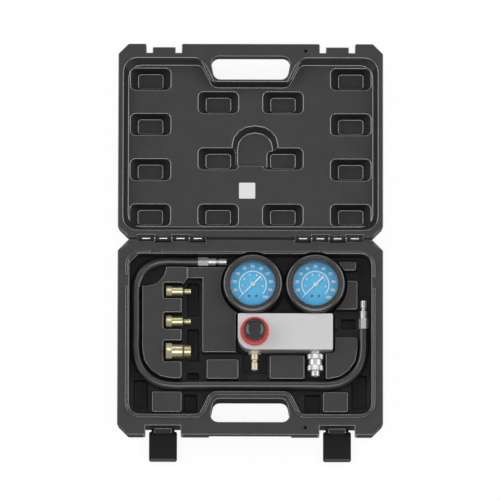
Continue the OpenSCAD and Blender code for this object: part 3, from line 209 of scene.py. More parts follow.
@dataclass(frozen=True)
class Rounding:
    """How wide the sharp edges of a piece are rounded, in mm, and where that differs.

    In the fine zone along Y, hollow edges stay sharp and the others are fine. Edges in the tight box
    and high hollow edges are fine too. Other high edges take the ridge's width, and tall upright ones
    in the corner zone along Y the corner's.
    """

    plain: float
    fine: float = 0.0
    fine_zone: Span = (0.0, 0.0)
    ridge: float = 0.0
    ridge_above: float = NEVER
    fine_hollow_above: float = NEVER
    corner: float = 0.0
    corner_zone: Span = (0.0, 0.0)
    corner_tall: float = 20.0
    upright: float = 0.9
    tight_from: Triple = ORIGIN
    tight_to: Triple = ORIGIN

    @property
    def widest(self) -> float:
        """The widest rounding."""
        return max(self.plain, self.corner)

    def share(self, start: Vector, end: Vector, hollow: bool) -> float:
        """The part of the widest rounding that an edge takes.

        Args:
            start: One end of the edge, in metres.
            end: Its other end.
            hollow: Whether the edge is an inner corner.

        Returns:
            A number from 0 to 1.
        """
        middle = (start.y + end.y) / 2 / MM
        top = max(start.z, end.z) / MM
        in_zone = self.fine_zone[0] < middle < self.fine_zone[1]
        if in_zone and hollow:
            return 0.0
        spot = (start + end) / 2 / MM
        tight = all(low < at < high for low, at, high in zip(self.tight_from, spot, self.tight_to))
        if in_zone or tight or (hollow and top > self.fine_hollow_above):
            return self.fine / self.widest
        if top > self.ridge_above:
            return self.ridge / self.widest
        least = max(self.upright * (end - start).length, self.corner_tall * MM)
        if abs(end.z - start.z) > least and self.corner_zone[0] < middle < self.corner_zone[1]:
            return self.corner / self.widest
        return self.plain / self.widest


def set_values(node: Node, values: dict[Any, Any]) -> None:
    """Sets plain values on a node's inputs, by name or number."""
    for key, value in values.items():
        node.inputs[key].default_value = value


def add_node(tree: Tree, kind: str, values: dict[Any, Any] | None = None, operation: str = "") -> Node:
    """Adds a shader node.

    Args:
        tree: The tree that takes it.
        kind: Its kind, without the leading ShaderNode.
        values: Plain values of its inputs.
        operation: What a Math node does.

    Returns:
        The new node.
    """
    node = tree.nodes.new(f"ShaderNode{kind}")
    if operation:
        node.operation = operation
    set_values(node, values or {})
    return node


def wire(tree: Tree, *links: tuple[Node, Any, Node, Any]) -> None:
    """Links an output of one node to an input of another, for each link."""
    for start, output, end, entry in links:
        tree.links.new(start.outputs[output], end.inputs[entry])


def blank_material(name: str) -> tuple[bpy.types.Material, Tree, Node]:
    """Starts a material.

    Args:
        name: Its name.

    Returns:
        The material, its tree and its shader.
    """
    material = bpy.data.materials.new(name)
    material.use_nodes = True
    return material, material.node_tree, material.node_tree.nodes["Principled BSDF"]


class Paintbox:
    """Makes each material once, from shared patterns."""

    coat_roughness: float = 0.12
    bump_strength: float = 0.5
    # Reach of the painted shade from the dial's middle to its rim, in metres.
    dial_reach: float = 0.03

    def __init__(self) -> None:
        """Builds the shared patterns."""
        self._made: dict[str, bpy.types.Material] = {}
        self._groups = {Grain.MOULDED: self._moulded_grain(), Grain.STREAKED: self._fine_streaks()}
        self._marks = self._handling_marks()

    @staticmethod
    def _group(name: str, *outputs: str) -> tuple[Tree, Node, Node]:
        """Starts a node group that reads a place and puts out values.

        Args:
            name: Name of the group.
            outputs: Names of its outputs.

        Returns:
            The tree, its input node and its output node.
        """
        tree = bpy.data.node_groups.new(name, "ShaderNodeTree")
        tree.interface.new_socket(name="Place", in_out="INPUT", socket_type="NodeSocketVector")
        for label in outputs:
            tree.interface.new_socket(name=label, in_out="OUTPUT", socket_type="NodeSocketFloat")
        return tree, tree.nodes.new("NodeGroupInput"), tree.nodes.new("NodeGroupOutput")

    @staticmethod
    def _use(tree: Tree, group: Tree) -> Node:
        """Places a shared pattern in a material."""
        node = add_node(tree, "Group")
        node.node_tree = group
        return node

    def _moulded_grain(self) -> Tree:
        """The fine pebbled skin of moulded plastic or rubber.

        Returns:
            The group, with Height and Tone.
        """
        tree, start, end = self._group(Grain.MOULDED.value, "Height", "Tone")
        pebbles = add_node(tree, "TexVoronoi", {"Scale": 1.0})
        drift = add_node(tree, "TexNoise", {"Scale": 0.5, "Detail": 3.0})
        total = add_node(tree, "Math", {1: 0.6}, "MULTIPLY_ADD")
        wire(tree, (start, "Place", pebbles, "Vector"), (start, "Place", drift, "Vector"),
             (pebbles, "Distance", total, 0), (drift, "Fac", total, 2),
             (total, "Value", end, "Height"), (drift, "Fac", end, "Tone"))
        return tree

    def _fine_streaks(self) -> Tree:
        """Lathe rings or brush lines, by how the place is stretched.

        Returns:
            The group, with Height and Tone.
        """
        tree, start, end = self._group(Grain.STREAKED.value, "Height", "Tone")
        fine = add_node(tree, "TexNoise", {"Scale": 1.0, "Detail": 2.0})
        broad = add_node(tree, "TexNoise", {"Scale": 0.12})
        wire(tree, (start, "Place", fine, "Vector"), (start, "Place", broad, "Vector"),
             (fine, "Fac", end, "Height"), (broad, "Fac", end, "Tone"))
        return tree

    def _handling_marks(self) -> Tree:
        """Soft smudges left by hands and by packing.

        Returns:
            The group, with Mask.
        """
        tree, start, end = self._group("handling_marks", "Mask")
        cloud = add_node(tree, "TexNoise", {
            "Scale": 38.0, "Detail": 5.0, "Roughness": 0.6, "Distortion": 0.6})
        limit = add_node(tree, "MapRange", {"From Min": 0.36, "From Max": 0.7})
        wire(tree, (start, "Place", cloud, "Vector"), (cloud, "Fac", limit, "Value"),
             (limit, "Result", end, "Mask"))
        return tree

    def material(self, finish: Finish) -> bpy.types.Material:
        """The material of a finish.

        Args:
            finish: The finish to make.

        Returns:
            The material, made the first time it is asked for.
        """
        if finish.name in self._made:
            return self._made[finish.name]
        material, tree, shader = blank_material(finish.name)
        set_values(shader, {
            "Metallic": finish.metallic, "Specular IOR Level": finish.specular, "Coat Weight": finish.coat,
            "Coat IOR": finish.coat_ior, "Coat Roughness": self.coat_roughness})
        place = add_node(tree, "TexCoord")
        stretch = add_node(tree, "Mapping", {"Scale": finish.repeats})
        pattern = self._use(tree, self._groups[finish.grain])
        marks = self._use(tree, self._marks)
        wear = add_node(tree, "Math", operation="MULTIPLY")
        blend = add_node(tree, "Mix")
        blend.data_type = "RGBA"
        set_values(blend, {"A": (*finish.colour, 1.0), "B": (*finish.second, 1.0)})
        gloss = add_node(tree, "MapRange", {
            "To Min": finish.roughness - finish.wander, "To Max": finish.roughness + finish.wander})
        bump = add_node(tree, "Bump", {"Strength": self.bump_strength, "Distance": finish.relief * MM})
        wire(tree, (place, "Object", stretch, "Vector"), (stretch, "Vector", pattern, "Place"),
             (place, "Object", marks, "Place"), (pattern, "Tone", wear, 0), (marks, "Mask", wear, 1),
             (wear, "Value", blend, "Factor"), (blend, "Result", shader, "Base Color"),
             (wear, "Value", gloss, "Value"), (gloss, "Result", shader, "Roughness"),
             (pattern, "Height", bump, "Height"), (bump, "Normal", shader, "Normal"))
        self._made[finish.name] = material
        return material

    def dial(self, name: str, centre: Span) -> bpy.types.Material:
        """The blue face of a gauge, paler in the middle and darker towards its rim, as painted shade under
        the bezel.

        Args:
            name: Name of the material.
            centre: Middle of the dial in mm.

        Returns:
            The material.
        """
        base = self.material(replace(DIAL, name=name))
        tree, reach = base.node_tree, self.dial_reach
        place = add_node(tree, "TexCoord")
        shift = add_node(tree, "Mapping", {
            "Location": (-centre[0] * MM / reach, -centre[1] * MM / reach, 0.0),
            "Scale": (1 / reach, 1 / reach, 0.0)})
        # Painted shade: the dial blends from its paler middle to the darker tone at its rim.
        rim_shade = add_node(tree, "TexGradient")
        rim_shade.gradient_type = "SPHERICAL"
        wire(tree, (place, "Object", shift, "Vector"), (shift, "Vector", rim_shade, "Vector"),
             (rim_shade, "Fac", tree.nodes["Mix"], "Factor"))
        return base

    def glass(self) -> bpy.types.Material:
        """Clear gauge window with a faint film of dust.

        Returns:
            The material.
        """
        if "gauge_glass" in self._made:
            return self._made["gauge_glass"]
        material, tree, shader = blank_material("gauge_glass")
        set_values(shader, {"Base Color": (0.95, 0.97, 1.0, 1.0), "Transmission Weight": 1.0, "IOR": 1.45})
        place = add_node(tree, "TexCoord")
        marks = self._use(tree, self._marks)
        film = add_node(tree, "MapRange", {"To Min": 0.02, "To Max": 0.05})
        veil = add_node(tree, "MapRange", {"To Min": 0.05, "To Max": 0.07})
        wire(tree, (place, "Object", marks, "Place"),
             (marks, "Mask", film, "Value"), (film, "Result", shader, "Roughness"),
             (marks, "Mask", veil, "Value"), (veil, "Result", shader, "Alpha"))
        self._made["gauge_glass"] = material
        return material


class Bench:
    """Hand moves at the modelling bench. Angles are in degrees, and lengths in mm."""

    sharp: float = 32.0
    flat_pair: float = 1.0
    quad_shape: float = 120.0
    smooth_below: float = 35.0
    thrown_share: float = 0.6
    pull_rounds: int = 20
    flat_weight: int = 100
    dust_area: float = 1e-5
    flat_area: float = 4.0
    fold_area: float = 0.01
    flat_gap: float = 0.02
    parallel: float = 0.9999

    def __init__(self, frame: dict[str, Any], paints: Paintbox) -> None:
        """Keeps the frame and the paints at hand."""
        self.nodes: dict[str, Piece] = frame["nodes"]
        self.paints = paints

    @staticmethod
    def pick(*pieces: Piece) -> None:
        """Selects these pieces alone and makes the first one active."""
        bpy.ops.object.select_all(action="DESELECT")
        for piece in pieces:
            piece.select_set(True)
        bpy.context.view_layer.objects.active = pieces[0]

    @contextmanager
    def editing(self, piece: Piece, kind: str = "VERT", everything: bool = True) -> Iterator[None]:
        """Opens a piece in edit mode.

        Args:
            piece: The piece to edit.
            kind: What is selected: VERT, EDGE or FACE.
            everything: Whether all of it is selected, or only what was marked before.

        Yields:
            Nothing, while the piece is open.
        """
        self.pick(piece)
        bpy.ops.object.mode_set(mode="EDIT")
        bpy.ops.mesh.select_mode(type=kind)
        if everything:
            bpy.ops.mesh.select_all(action="SELECT")
        yield
        bpy.ops.object.mode_set(mode="OBJECT")

    @staticmethod
    def mark(piece: Piece, chosen: Callable[[Vector], bool]) -> int:
        """Marks the corners that the next edit moves.

        Args:
            piece: The piece.
            chosen: Says whether the corner at a place is marked.

        Returns:
            How many corners are marked.
        """
        for part in (*piece.data.polygons, *piece.data.edges):
            part.select = False
        for point in piece.data.vertices:
            point.select = chosen(point.co)
        return sum(point.select for point in piece.data.vertices)

    @staticmethod
    def named(name: str) -> Piece:
        """Names the active object and its mesh."""
        piece = bpy.context.active_object
        piece.name = piece.data.name = name
        return piece

    def plane(self, name: str, size: float) -> Piece:
        """Adds a square at the origin, with its side in mm."""
        bpy.ops.object.select_all(action="DESELECT")
        bpy.ops.mesh.primitive_plane_add(size=size * MM)
        return self.named(name)

    def modify(self, piece: Piece, kind: str, **settings: Any) -> None:
        """Adds a modifier and applies it.

        Args:
            piece: The piece to change.
            kind: Kind of modifier.
            settings: The modifier's settings.
        """
        modifier = piece.modifiers.new(kind.lower(), kind)
        for key, value in settings.items():
            setattr(modifier, key, value)
        self.pick(piece)
        bpy.ops.object.modifier_apply(modifier=modifier.name)

    def smooth(self, piece: Piece, degrees: float = smooth_below) -> None:
        """Shades a piece smooth across edges below an angle."""
        self.pick(piece)
        bpy.ops.object.shade_smooth_by_angle(angle=math.radians(degrees))

    def rounded_copy(self, node: str, name: str, rounding: Rounding, segments: int = 3) -> Piece:
        """Copies a solid of the frame and rounds its sharp edges.

        The rounding lies in material slot 1 of the new piece, the rest in slot 0.

        Args:
            node: Name of the solid.
            name: Name of the new piece.
            rounding: How wide its edges are rounded.
            segments: Facets across the rounding.

        Returns:
            The new piece.
        """
        piece = self._merged_copy(node, name)
        self._weigh_edges(piece, rounding)
        points = [point.co.copy() for point in piece.data.vertices]
        skin = BVHTree.FromPolygons(points, [tuple(face.vertices) for face in piece.data.polygons])
        while len(piece.data.materials) < 2:
            piece.data.materials.append(None)
        self.modify(piece, "BEVEL", limit_method="WEIGHT", width=rounding.widest * MM, segments=segments,
                    use_clamp_overlap=False, loop_slide=False, material=1)
        self._pull_spikes(piece, skin, self.thrown_share * rounding.widest * MM,
                          min(point.z for point in points))
        for folded in self._folded_flats(piece):
            self._refill(piece, folded)
        with self.editing(piece):
            bpy.ops.mesh.normals_make_consistent(inside=False)
        self.smooth(piece)
        self.modify(piece, "WEIGHTED_NORMAL", keep_sharp=True, weight=self.flat_weight)
        return piece

    def _merged_copy(self, node: str, name: str) -> Piece:
        """Copies a solid of the frame and merges its loose triangles.

        Args:
            node: Name of the solid.
            name: Name of the copy.

        Returns:
            The copy, with its sharp edges selected.
        """
        self.pick(self.nodes[node])
        bpy.ops.object.duplicate()
        piece = self.named(name)
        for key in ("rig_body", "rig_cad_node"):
            if key in piece:
                del piece[key]
        bpy.ops.object.parent_clear(type="CLEAR_KEEP_TRANSFORM")
        bpy.ops.mesh.customdata_custom_splitnormals_clear()
        with self.editing(piece):
            bpy.ops.mesh.remove_doubles(threshold=SOLID_WELD)
            bpy.ops.mesh.tris_convert_to_quads(face_threshold=math.radians(self.flat_pair),
                                               shape_threshold=math.radians(self.quad_shape))
            bpy.ops.mesh.select_mode(type="EDGE")
            bpy.ops.mesh.select_all(action="DESELECT")
            bpy.ops.mesh.edges_select_sharp(sharpness=math.radians(self.sharp))
        return piece

    @staticmethod
    def _weigh_edges(piece: Piece, rounding: Rounding) -> None:
        """Sets how much of the rounding each selected edge takes.

        Args:
            piece: The piece, with its sharp edges selected.
            rounding: How wide its edges are rounded.
        """
        weights = piece.data.attributes.new("bevel_weight_edge", "FLOAT", "EDGE")
        points = piece.data.vertices
        beside: dict[tuple[int, int], list[Face]] = {}
        for face in piece.data.polygons:
            for key in face.edge_keys:
                beside.setdefault(key, []).append(face)
        for edge in piece.data.edges:
            if edge.select:
                start, end = (points[k].co for k in edge.vertices)
                first, last = beside[edge.key][0], beside[edge.key][-1]
                hollow = first.normal.dot(last.center - first.center) > 0.0
                weights.data[edge.index].value = rounding.share(start, end, hollow)

    def _pull_spikes(self, piece: Piece, skin: BVHTree, reach: float, low: float) -> None:
        """Draws corners that the rounding threw off the surface back between their neighbours.

        Args:
            piece: The rounded piece.
            skin: The surface it had before.
            reach: How far a corner may lie from that surface, in metres.
            low: Height of its lowest point, in metres.
        """
        thrown = self.mark(piece, lambda at: skin.find_nearest(at)[3] > reach or at.z < low - WELD)
        if thrown:
            LOG.info("%s: %d corners drawn back", piece.name, thrown)
            with self.editing(piece, everything=False):
                bpy.ops.mesh.vertices_smooth(factor=1.0, repeat=self.pull_rounds)

    def _folded_flats(self, piece: Piece) -> list[set[frozenset[int]]]:
        """Finds the flats whose long thin facets were folded over by the rounding.

        Args:
            piece: The rounded piece.

        Returns:
            For each flat, its facets as sets of vertices.
        """
        square = MM * MM
        facets = [face for face in piece.data.polygons
                  if face.material_index == 0 and face.area > self.dust_area * square]
        rest = [(face.normal.copy(), face.normal.dot(face.center), face.area, frozenset(face.vertices))
                for face in sorted(facets, key=lambda face: -face.area)]
        flats = []
        while rest and rest[0][2] > self.flat_area * square:
            normal, height = rest[0][:2]
            flat, others, folded = set(), [], 0.0
            for entry in rest:
                along = normal.dot(entry[0])
                gap = abs(math.copysign(1.0, along) * entry[1] - height)
                if abs(along) > self.parallel and gap < self.flat_gap * MM:
                    flat.add(entry[3])
                    folded += entry[2] if along < 0.0 else 0.0
                else:
                    others.append(entry)
            rest = others
            if folded > self.fold_area * square and len(flat) > 2:
                flats.append(flat)
        return flats

    @staticmethod
    def _select_open(loose: bool) -> None:
        """Selects the loose edges alone, or the rims of holes alone."""
        bpy.ops.mesh.select_non_manifold(extend=False, use_wire=loose, use_boundary=not loose,
                                         use_multi_face=False, use_non_contiguous=False, use_verts=False)

    def _refill(self, piece: Piece, flat: set[frozenset[int]]) -> None:
        """Takes the facets of a flat away and fills its outline anew.

        Args:
            piece: The rounded piece.
            flat: The flat's facets as sets of vertices.
        """
        for face in piece.data.polygons:
            face.select = frozenset(face.vertices) in flat
        for line in (*piece.data.edges, *piece.data.vertices):
            line.select = False
        piece.active_material_index = 0
        with self.editing(piece, "FACE", everything=False):
            bpy.ops.mesh.delete(type="ONLY_FACE")
            bpy.ops.mesh.select_mode(type="EDGE")
            self._select_open(loose=True)
            bpy.ops.mesh.delete(type="EDGE")
            self._select_open(loose=False)
            bpy.ops.mesh.fill(use_beauty=True)
            bpy.ops.mesh.select_mode(type="VERT")

    def outline(self, name: str, profile: Profile, closed: bool = True) -> Piece:
        """Draws a profile of radius and height, vertex by vertex, in the XZ plane.

        Args:
            name: Name of the new piece.
            profile: Radius and height of each vertex in mm.
            closed: Whether the last vertex joins the first.

        Returns:
            The drawn outline.
        """
        piece = self.plane(name, 1.0)
        with self.editing(piece):
            bpy.ops.mesh.merge(type="CENTER")
            at = Vector((profile[0][0], 0.0, profile[0][1])) * MM
            bpy.ops.transform.translate(value=at)
            for radius, height in profile[1:]:
                to = Vector((radius, 0.0, height)) * MM
                bpy.ops.mesh.extrude_vertices_move(TRANSFORM_OT_translate={"value": to - at})
                at = to
        if closed:
            with self.editing(piece):
                bpy.ops.mesh.edge_face_add()
                bpy.ops.mesh.delete(type="ONLY_FACE")
        return piece

    def turned(self, name: str, profile: Profile, steps: int) -> Piece:
        """Turns a profile round the Z axis.

        Args:
            name: Name of the new piece.
            profile: Radius and height of each vertex in mm.
            steps: Facets round the piece.

        Returns:
            The turned piece, standing on the origin.
        """
        piece = self.outline(name, profile)
        with self.editing(piece):
            bpy.ops.mesh.spin(steps=steps, angle=math.tau, center=ORIGIN, axis=UP)
            bpy.ops.mesh.select_all(action="SELECT")
            bpy.ops.mesh.remove_doubles(threshold=WELD)
            bpy.ops.mesh.delete_loose(use_verts=True, use_edges=True, use_faces=False)
            bpy.ops.mesh.select_all(action="SELECT")
            bpy.ops.mesh.normals_make_consistent(inside=False)
        return piece

    def settle(self, piece: Piece, place: Matrix) -> None:
        """Puts a piece in its place and leaves its object at the origin.

        Args:
            piece: The piece to place.
            place: Where its own origin and axes go.
        """
        piece.matrix_world = place
        self.pick(piece)
        bpy.ops.object.transform_apply(location=True, rotation=True, scale=True)

    def joined(self, pieces: Sequence[Piece], name: str) -> Piece:
        """Joins pieces into the first of them."""
        self.pick(*pieces)
        bpy.ops.object.join()
        return self.named(name)

    def hand_over(self, piece: Piece, finish: Finish, body: str, *nodes: str,
                  extra: Sequence[Finish] = ()) -> Piece:
        """Paints a piece and lets it ride on its body.

        Args:
            piece: The finished piece.
            finish: Its finish.
            body: Name of the body that carries it.
            nodes: Solids that it stands for.
            extra: Finishes of its further material slots.

        Returns:
            The same piece.
        """
        marks = [face.material_index for face in piece.data.polygons] if extra else []
        piece.data.materials.clear()
        for each in (finish, *extra):
            piece.data.materials.append(self.paints.material(each))
        if marks:
            piece.data.polygons.foreach_set("material_index", marks)
        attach(piece, body)
        if nodes:
            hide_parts(*nodes)
        LOG.info("%s rides on %s", piece.name, body)
        return piece


@dataclass
class Studio:
    """Floor, lamps and camera of the product picture."""

    target: Triple = (-0.5, 109.7, 34.0)
    elevation: float = 79.0
    distance: float = 15.0
    picture_width: float = 617.5
    roll: float = 0.12
    sensor: float = 36.0
    far_clip: float = 50.0
    floor_size: float = 6.0
    floor_gap: float = 0.0002
    floor_tone: float = 0.14
    floor_seen: float = 0.9
    floor_mirrored: float = 0.2
    room_dim: float = 0.08
    room_seen: float = 0.4
    lamps: Sequence[tuple[str, Triple, Span, float]] = (
        ("left_softbox", (-1.8, 0.45, 1.05), (2.6, 1.8), 31.0),
        ("right_softbox", (1.8, 0.45, 1.05), (2.6, 1.8), 31.0),
        ("back_softbox", (0.0, 2.2, 1.5), (1.8, 0.6), 8.0),
        ("top_softbox", (0.0, -0.7, 2.6), (1.4, 1.4), 19.0))

    def build(self, low: float) -> None:
        """Sets up the whole studio.

        Args:
            low: Height of the object's lowest point in metres.
        """
        bpy.context.scene.view_settings.view_transform = "Standard"
        self._floor(low)
        self._world()
        for lamp in self.lamps:
            self._lamp(*lamp)
        self._camera()

    def _floor(self, low: float) -> None:
        """Lays a pale floor that keeps the object's shadow.

        Args:
            low: Height of the object's lowest point in metres.
        """
        bpy.ops.object.select_all(action="DESELECT")
        bpy.ops.mesh.primitive_plane_add(size=self.floor_size, location=(0.0, 0.0, low - self.floor_gap))
        floor = bpy.context.active_object
        floor.name = "floor"
        bpy.ops.object.mode_set(mode="EDIT")
        bpy.ops.mesh.subdivide(number_cuts=3)
        bpy.ops.object.mode_set(mode="OBJECT")
        material, tree, shader = blank_material("floor_white")
        set_values(shader, {
            "Base Color": (self.floor_tone, self.floor_tone, self.floor_tone, 1.0), "Roughness": 0.9,
            "Specular IOR Level": 0.0, "Emission Color": (1.0, 1.0, 1.0, 1.0)})
        rays = add_node(tree, "LightPath")
        seen = add_node(tree, "Math", operation="MAXIMUM")
        mirrored = add_node(tree, "Math", {1: self.floor_mirrored}, "MULTIPLY")
        level = add_node(tree, "Math", {1: self.floor_seen}, "MULTIPLY_ADD")
        wire(tree, (rays, "Is Camera Ray", seen, 0), (rays, "Is Transmission Ray", seen, 1),
             (rays, "Is Glossy Ray", mirrored, 0), (seen, "Value", level, 0), (mirrored, "Value", level, 2),
             (level, "Value", shader, "Emission Strength"))
        floor.data.materials.append(material)
        floor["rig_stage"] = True

    def _world(self) -> None:
        """Fills the room with dim light, and lets metal and glass show its pale walls."""
        world = bpy.data.worlds.new("room")
        bpy.context.scene.world = world
        world.use_nodes = True
        tree = world.node_tree
        sky = tree.nodes["Background"]
        set_values(sky, {"Color": (1.0, 1.0, 1.0, 1.0)})
        rays = add_node(tree, "LightPath")
        seen = add_node(tree, "Math", operation="MAXIMUM")
        through = add_node(tree, "Math", operation="MAXIMUM")
        level = add_node(tree, "MapRange", {"To Min": self.room_dim, "To Max": self.room_seen})
        wire(tree, (rays, "Is Camera Ray", seen, 0), (rays, "Is Glossy Ray", seen, 1),
             (seen, "Value", through, 0), (rays, "Is Transmission Ray", through, 1),
             (through, "Value", level, "Value"), (level, "Result", sky, "Strength"))

    def _lamp(self, name: str, place: Triple, size: Span, power: float) -> None:
        """Hangs one softbox that faces the case.

        Args:
            name: Name of the lamp.
            place: Where it hangs, in metres.
            size: Width and height in metres.
            power: Light that it gives, in watts.
        """
        light = bpy.data.lights.new(name, "AREA")
        light.shape = "RECTANGLE"
        light.size, light.size_y = size
        light.energy = power
        lamp = bpy.data.objects.new(name, light)
        bpy.context.scene.collection.objects.link(lamp)
        lamp.location = place
        aim = Vector(self.target) * MM - Vector(place)
        lamp.rotation_euler = aim.to_track_quat("-Z", "Y").to_euler()

    def _camera(self) -> None:
        """Sets the camera at the picture's angle."""
        lens = bpy.data.cameras.new("camera")
        lens.sensor_width = self.sensor
        lens.sensor_fit = "HORIZONTAL"
        lens.lens = self.sensor * self.distance / (self.picture_width * MM)
        lens.clip_end = self.far_clip
        camera = bpy.data.objects.new("camera", lens)
        bpy.context.scene.collection.objects.link(camera)
        tilt = math.radians(self.elevation)
        away = Vector((0.0, -math.cos(tilt), math.sin(tilt)))
        camera.location = Vector(self.target) * MM + away * self.distance
        turn = (-away).to_track_quat("-Z", "Y").to_matrix() @ Matrix.Rotation(math.radians(self.roll), 3, "Z")
        camera.rotation_euler = turn.to_euler()
        bpy.context.scene.camera = camera


@dataclass
class WhipHose:
    """Rubber air hose that lies round the tray, with a plug on each end."""

    bench: Bench
    radius: float = 6.2
    height: float = 19.5
    plug_edge: float = 0.25
    steps: int = 10
    round_steps: int = 7
    route: Profile = (
        (-65.0, 97.5), (-85.0, 97.5), (-105.0, 97.5), (-117.5, 95.3), (-130.7, 87.2), (-139.0, 74.0),
        (-141.0, 61.5), (-141.0, 35.0), (-141.0, 10.0), (-141.0, -14.0), (-137.5, -31.0), (-128.0, -45.0),
        (-114.0, -54.5), (-97.0, -58.0), (-70.0, -58.0), (-40.0, -58.0), (-10.0, -58.0), (20.0, -58.0),
        (50.0, -58.0), (75.0, -58.0), (96.0, -58.0), (113.0, -54.5), (127.0, -45.0), (136.5, -31.0),
        (140.0, -14.0), (140.0, 0.0), (140.0, 13.0))

    def build(self) -> None:
        for end in ENDS:
            node = f"hose_plug_{end}"
            plug = self.bench.rounded_copy(node, f"air_plug_{end}", Rounding(self.plug_edge), 2)
            self.bench.hand_over(plug, CHROME, "hose", node)
        line = bpy.data.curves.new("whip_hose", "CURVE")
        line.dimensions = "3D"
        spline = line.splines.new("BEZIER")
        spline.bezier_points.add(len(self.route) - 1)
        for point, (x, y) in zip(spline.bezier_points, self.route):
            point.co = (x * MM, y * MM, self.height * MM)
            point.handle_left_type = "AUTO"
            point.handle_right_type = "AUTO"
        spline.resolution_u = self.steps
        line.bevel_depth = self.radius * MM
        line.bevel_resolution = self.round_steps
        line.use_fill_caps = True
        hose = bpy.data.objects.new("whip_hose", line)
        bpy.context.scene.collection.objects.link(hose)
        self.bench.hand_over(hose, HOSE, "hose", "hose_tube")


@dataclass
class CarryCase:
    """Blow-moulded case: tray, lid, latches and a plain label."""

    bench: Bench
    edge: float = 0.8
    fine_edge: float = 0.28
    tongue_edge: float = 0.5
    tongue_z: float = 34.3
    tab_edge: float = 2.6
    base_tabs_y: Span = (-130.0, -98.0)
    lid_tabs_y: Span = (346.0, 378.0)
    tight_from: Triple = (98.0, -20.0, 3.0)
    tight_to: Triple = (137.0, 36.0, 27.0)
    hinge_y: Span = (121.2, 126.8)
    tray_x: float = 154.5
    tray_y: Span = (-92.0, 112.0)
    lid_x: float = 157.5
    lid_y: Span = (136.0, 340.0)
    # deep_z, rebate_z and level bound the faces that take the painted shade.
    deep_z: Span = (3.5, 21.0)
    rebate_z: Span = (29.0, 33.6)
    level: float = 0.9
    hole_x: float = 68.0
    hole_reach: float = 2.6
    base_hole_y: float = -113.3
    lid_hole_y: float = 361.3
    latch_edge: float = 0.4
    lip_y: float = -147.2
    label_size: float = 20.0
    label_at: Triple = (-4.2, 187.2, 20.0)
    label_lift: float = 0.02
    label_thick: float = 0.15
    label_corner: float = 1.0
    label_border: float = 0.8

    def build(self) -> None:
        """Makes the case's pieces."""
        rounding = Rounding(self.edge, self.fine_edge, self.hinge_y, self.tongue_edge, self.tongue_z,
                            self.rebate_z[0], self.tab_edge, self.lid_tabs_y)
        tight = replace(rounding, corner_zone=self.base_tabs_y, tight_from=self.tight_from,
                        tight_to=self.tight_to)
        self._shell("base_shell", "case_tray", "case_base", tight, self._in_tray_recess)
        self._shell("lid_shell", "case_lid", "lid", rounding, self._is_lid_wall)
        for end in ENDS:
            latch = self.bench.rounded_copy(f"latch_{end}", f"snap_latch_{end}", Rounding(self.latch_edge))
            # The lip's faces take the lighter finish in slot 1, a painted highlight.
            for face in latch.data.polygons:
                face.material_index = int(face.center.y < self.lip_y * MM)
            self.bench.hand_over(latch, LATCH, f"{end}_latch", f"latch_{end}", extra=(LIP_PAINTED_HIGHLIGHT,))
        self._label()

    def _shell(self, node: str, name: str, body: str, rounding: Rounding,
               dark: Callable[[Face], bool]) -> None:
        """Rounds one half of the case and paints shade into its recesses and inner walls, as a darker finish.

        Args:
            node: Name of its solid.
            name: Name of the new piece.
            body: Name of the body that carries it.
            rounding: How wide its edges are rounded.
            dark: Says which faces take the painted shade.
        """
        shell = self.bench.rounded_copy(node, name, rounding)
        # Painted shade: the chosen faces take the darker plastic in slot 2.
        for face in shell.data.polygons:
            if dark(face):
                face.material_index = 2
        self.bench.hand_over(shell, CASE, body, node, extra=(CASE_EDGE, CASE_PAINTED_SHADE))

    def _in_tray_recess(self, face: Face) -> bool:
        """Whether a face of the tray takes the painted shade: a deep floor, a pocket's wall, the rim's rebate
        or its tongue.

        Args:
            face: A face of the rounded tray.

        Returns:
            True for such faces.
        """
        at = face.center / MM
        if self._in_blow_hole(at, self.base_hole_y) or (face.material_index == 0 and at.z > self.tongue_z):
            return True
        if abs(at.x) > self.tray_x or not self.tray_y[0] < at.y < self.tray_y[1]:
            return False
        deep = self.deep_z[0] < at.z < self.deep_z[1]
        upright = abs(face.normal.z) < self.level or at.z > self.rebate_z[0]
        return deep or (face.material_index == 0 and upright and at.z < self.rebate_z[1])

    def _in_blow_hole(self, at: Vector, hole_y: float) -> bool:
        """Whether a place in mm lies in the small hole of the blow needle."""
        return math.hypot(at.x - self.hole_x, at.y - hole_y) < self.hole_reach and at.z > self.deep_z[0]

    def _is_lid_wall(self, face: Face) -> bool:
        """Whether a face of the lid takes the painted shade: an inner wall, of a pocket or of the rim, or a
        face on the hinge.

        Args:
            face: A face of the rounded lid.

        Returns:
            True for such faces.
        """
        at = face.center / MM
        on_hinge = face.material_index == 0 and at.y < self.hinge_y[1] and at.z > self.rebate_z[0]
        if on_hinge or self._in_blow_hole(at, self.lid_hole_y):
            return True
        inside = abs(at.x) < self.lid_x and self.lid_y[0] < at.y < self.lid_y[1]
        upright = abs(face.normal.z) < self.level
        return inside and face.material_index == 0 and upright and at.z < self.rebate_z[1]

    def _label(self) -> None:
        """Sticks a plain paper label inside the lid."""
        label = self.bench.plane("lid_label", self.label_size)
        with self.bench.editing(label):
            bpy.ops.mesh.bevel(offset=self.label_corner * MM, segments=4, affect="VERTICES")
            bpy.ops.mesh.inset(thickness=self.label_border * MM)
        self.bench.modify(label, "SOLIDIFY", thickness=self.label_thick * MM, offset=1.0)
        at = Vector(self.label_at) * MM + Vector((0.0, 0.0, self.label_lift * MM))
        self.bench.settle(label, Matrix.Translation(at))
        self.bench.hand_over(label, PAPER, "lid")


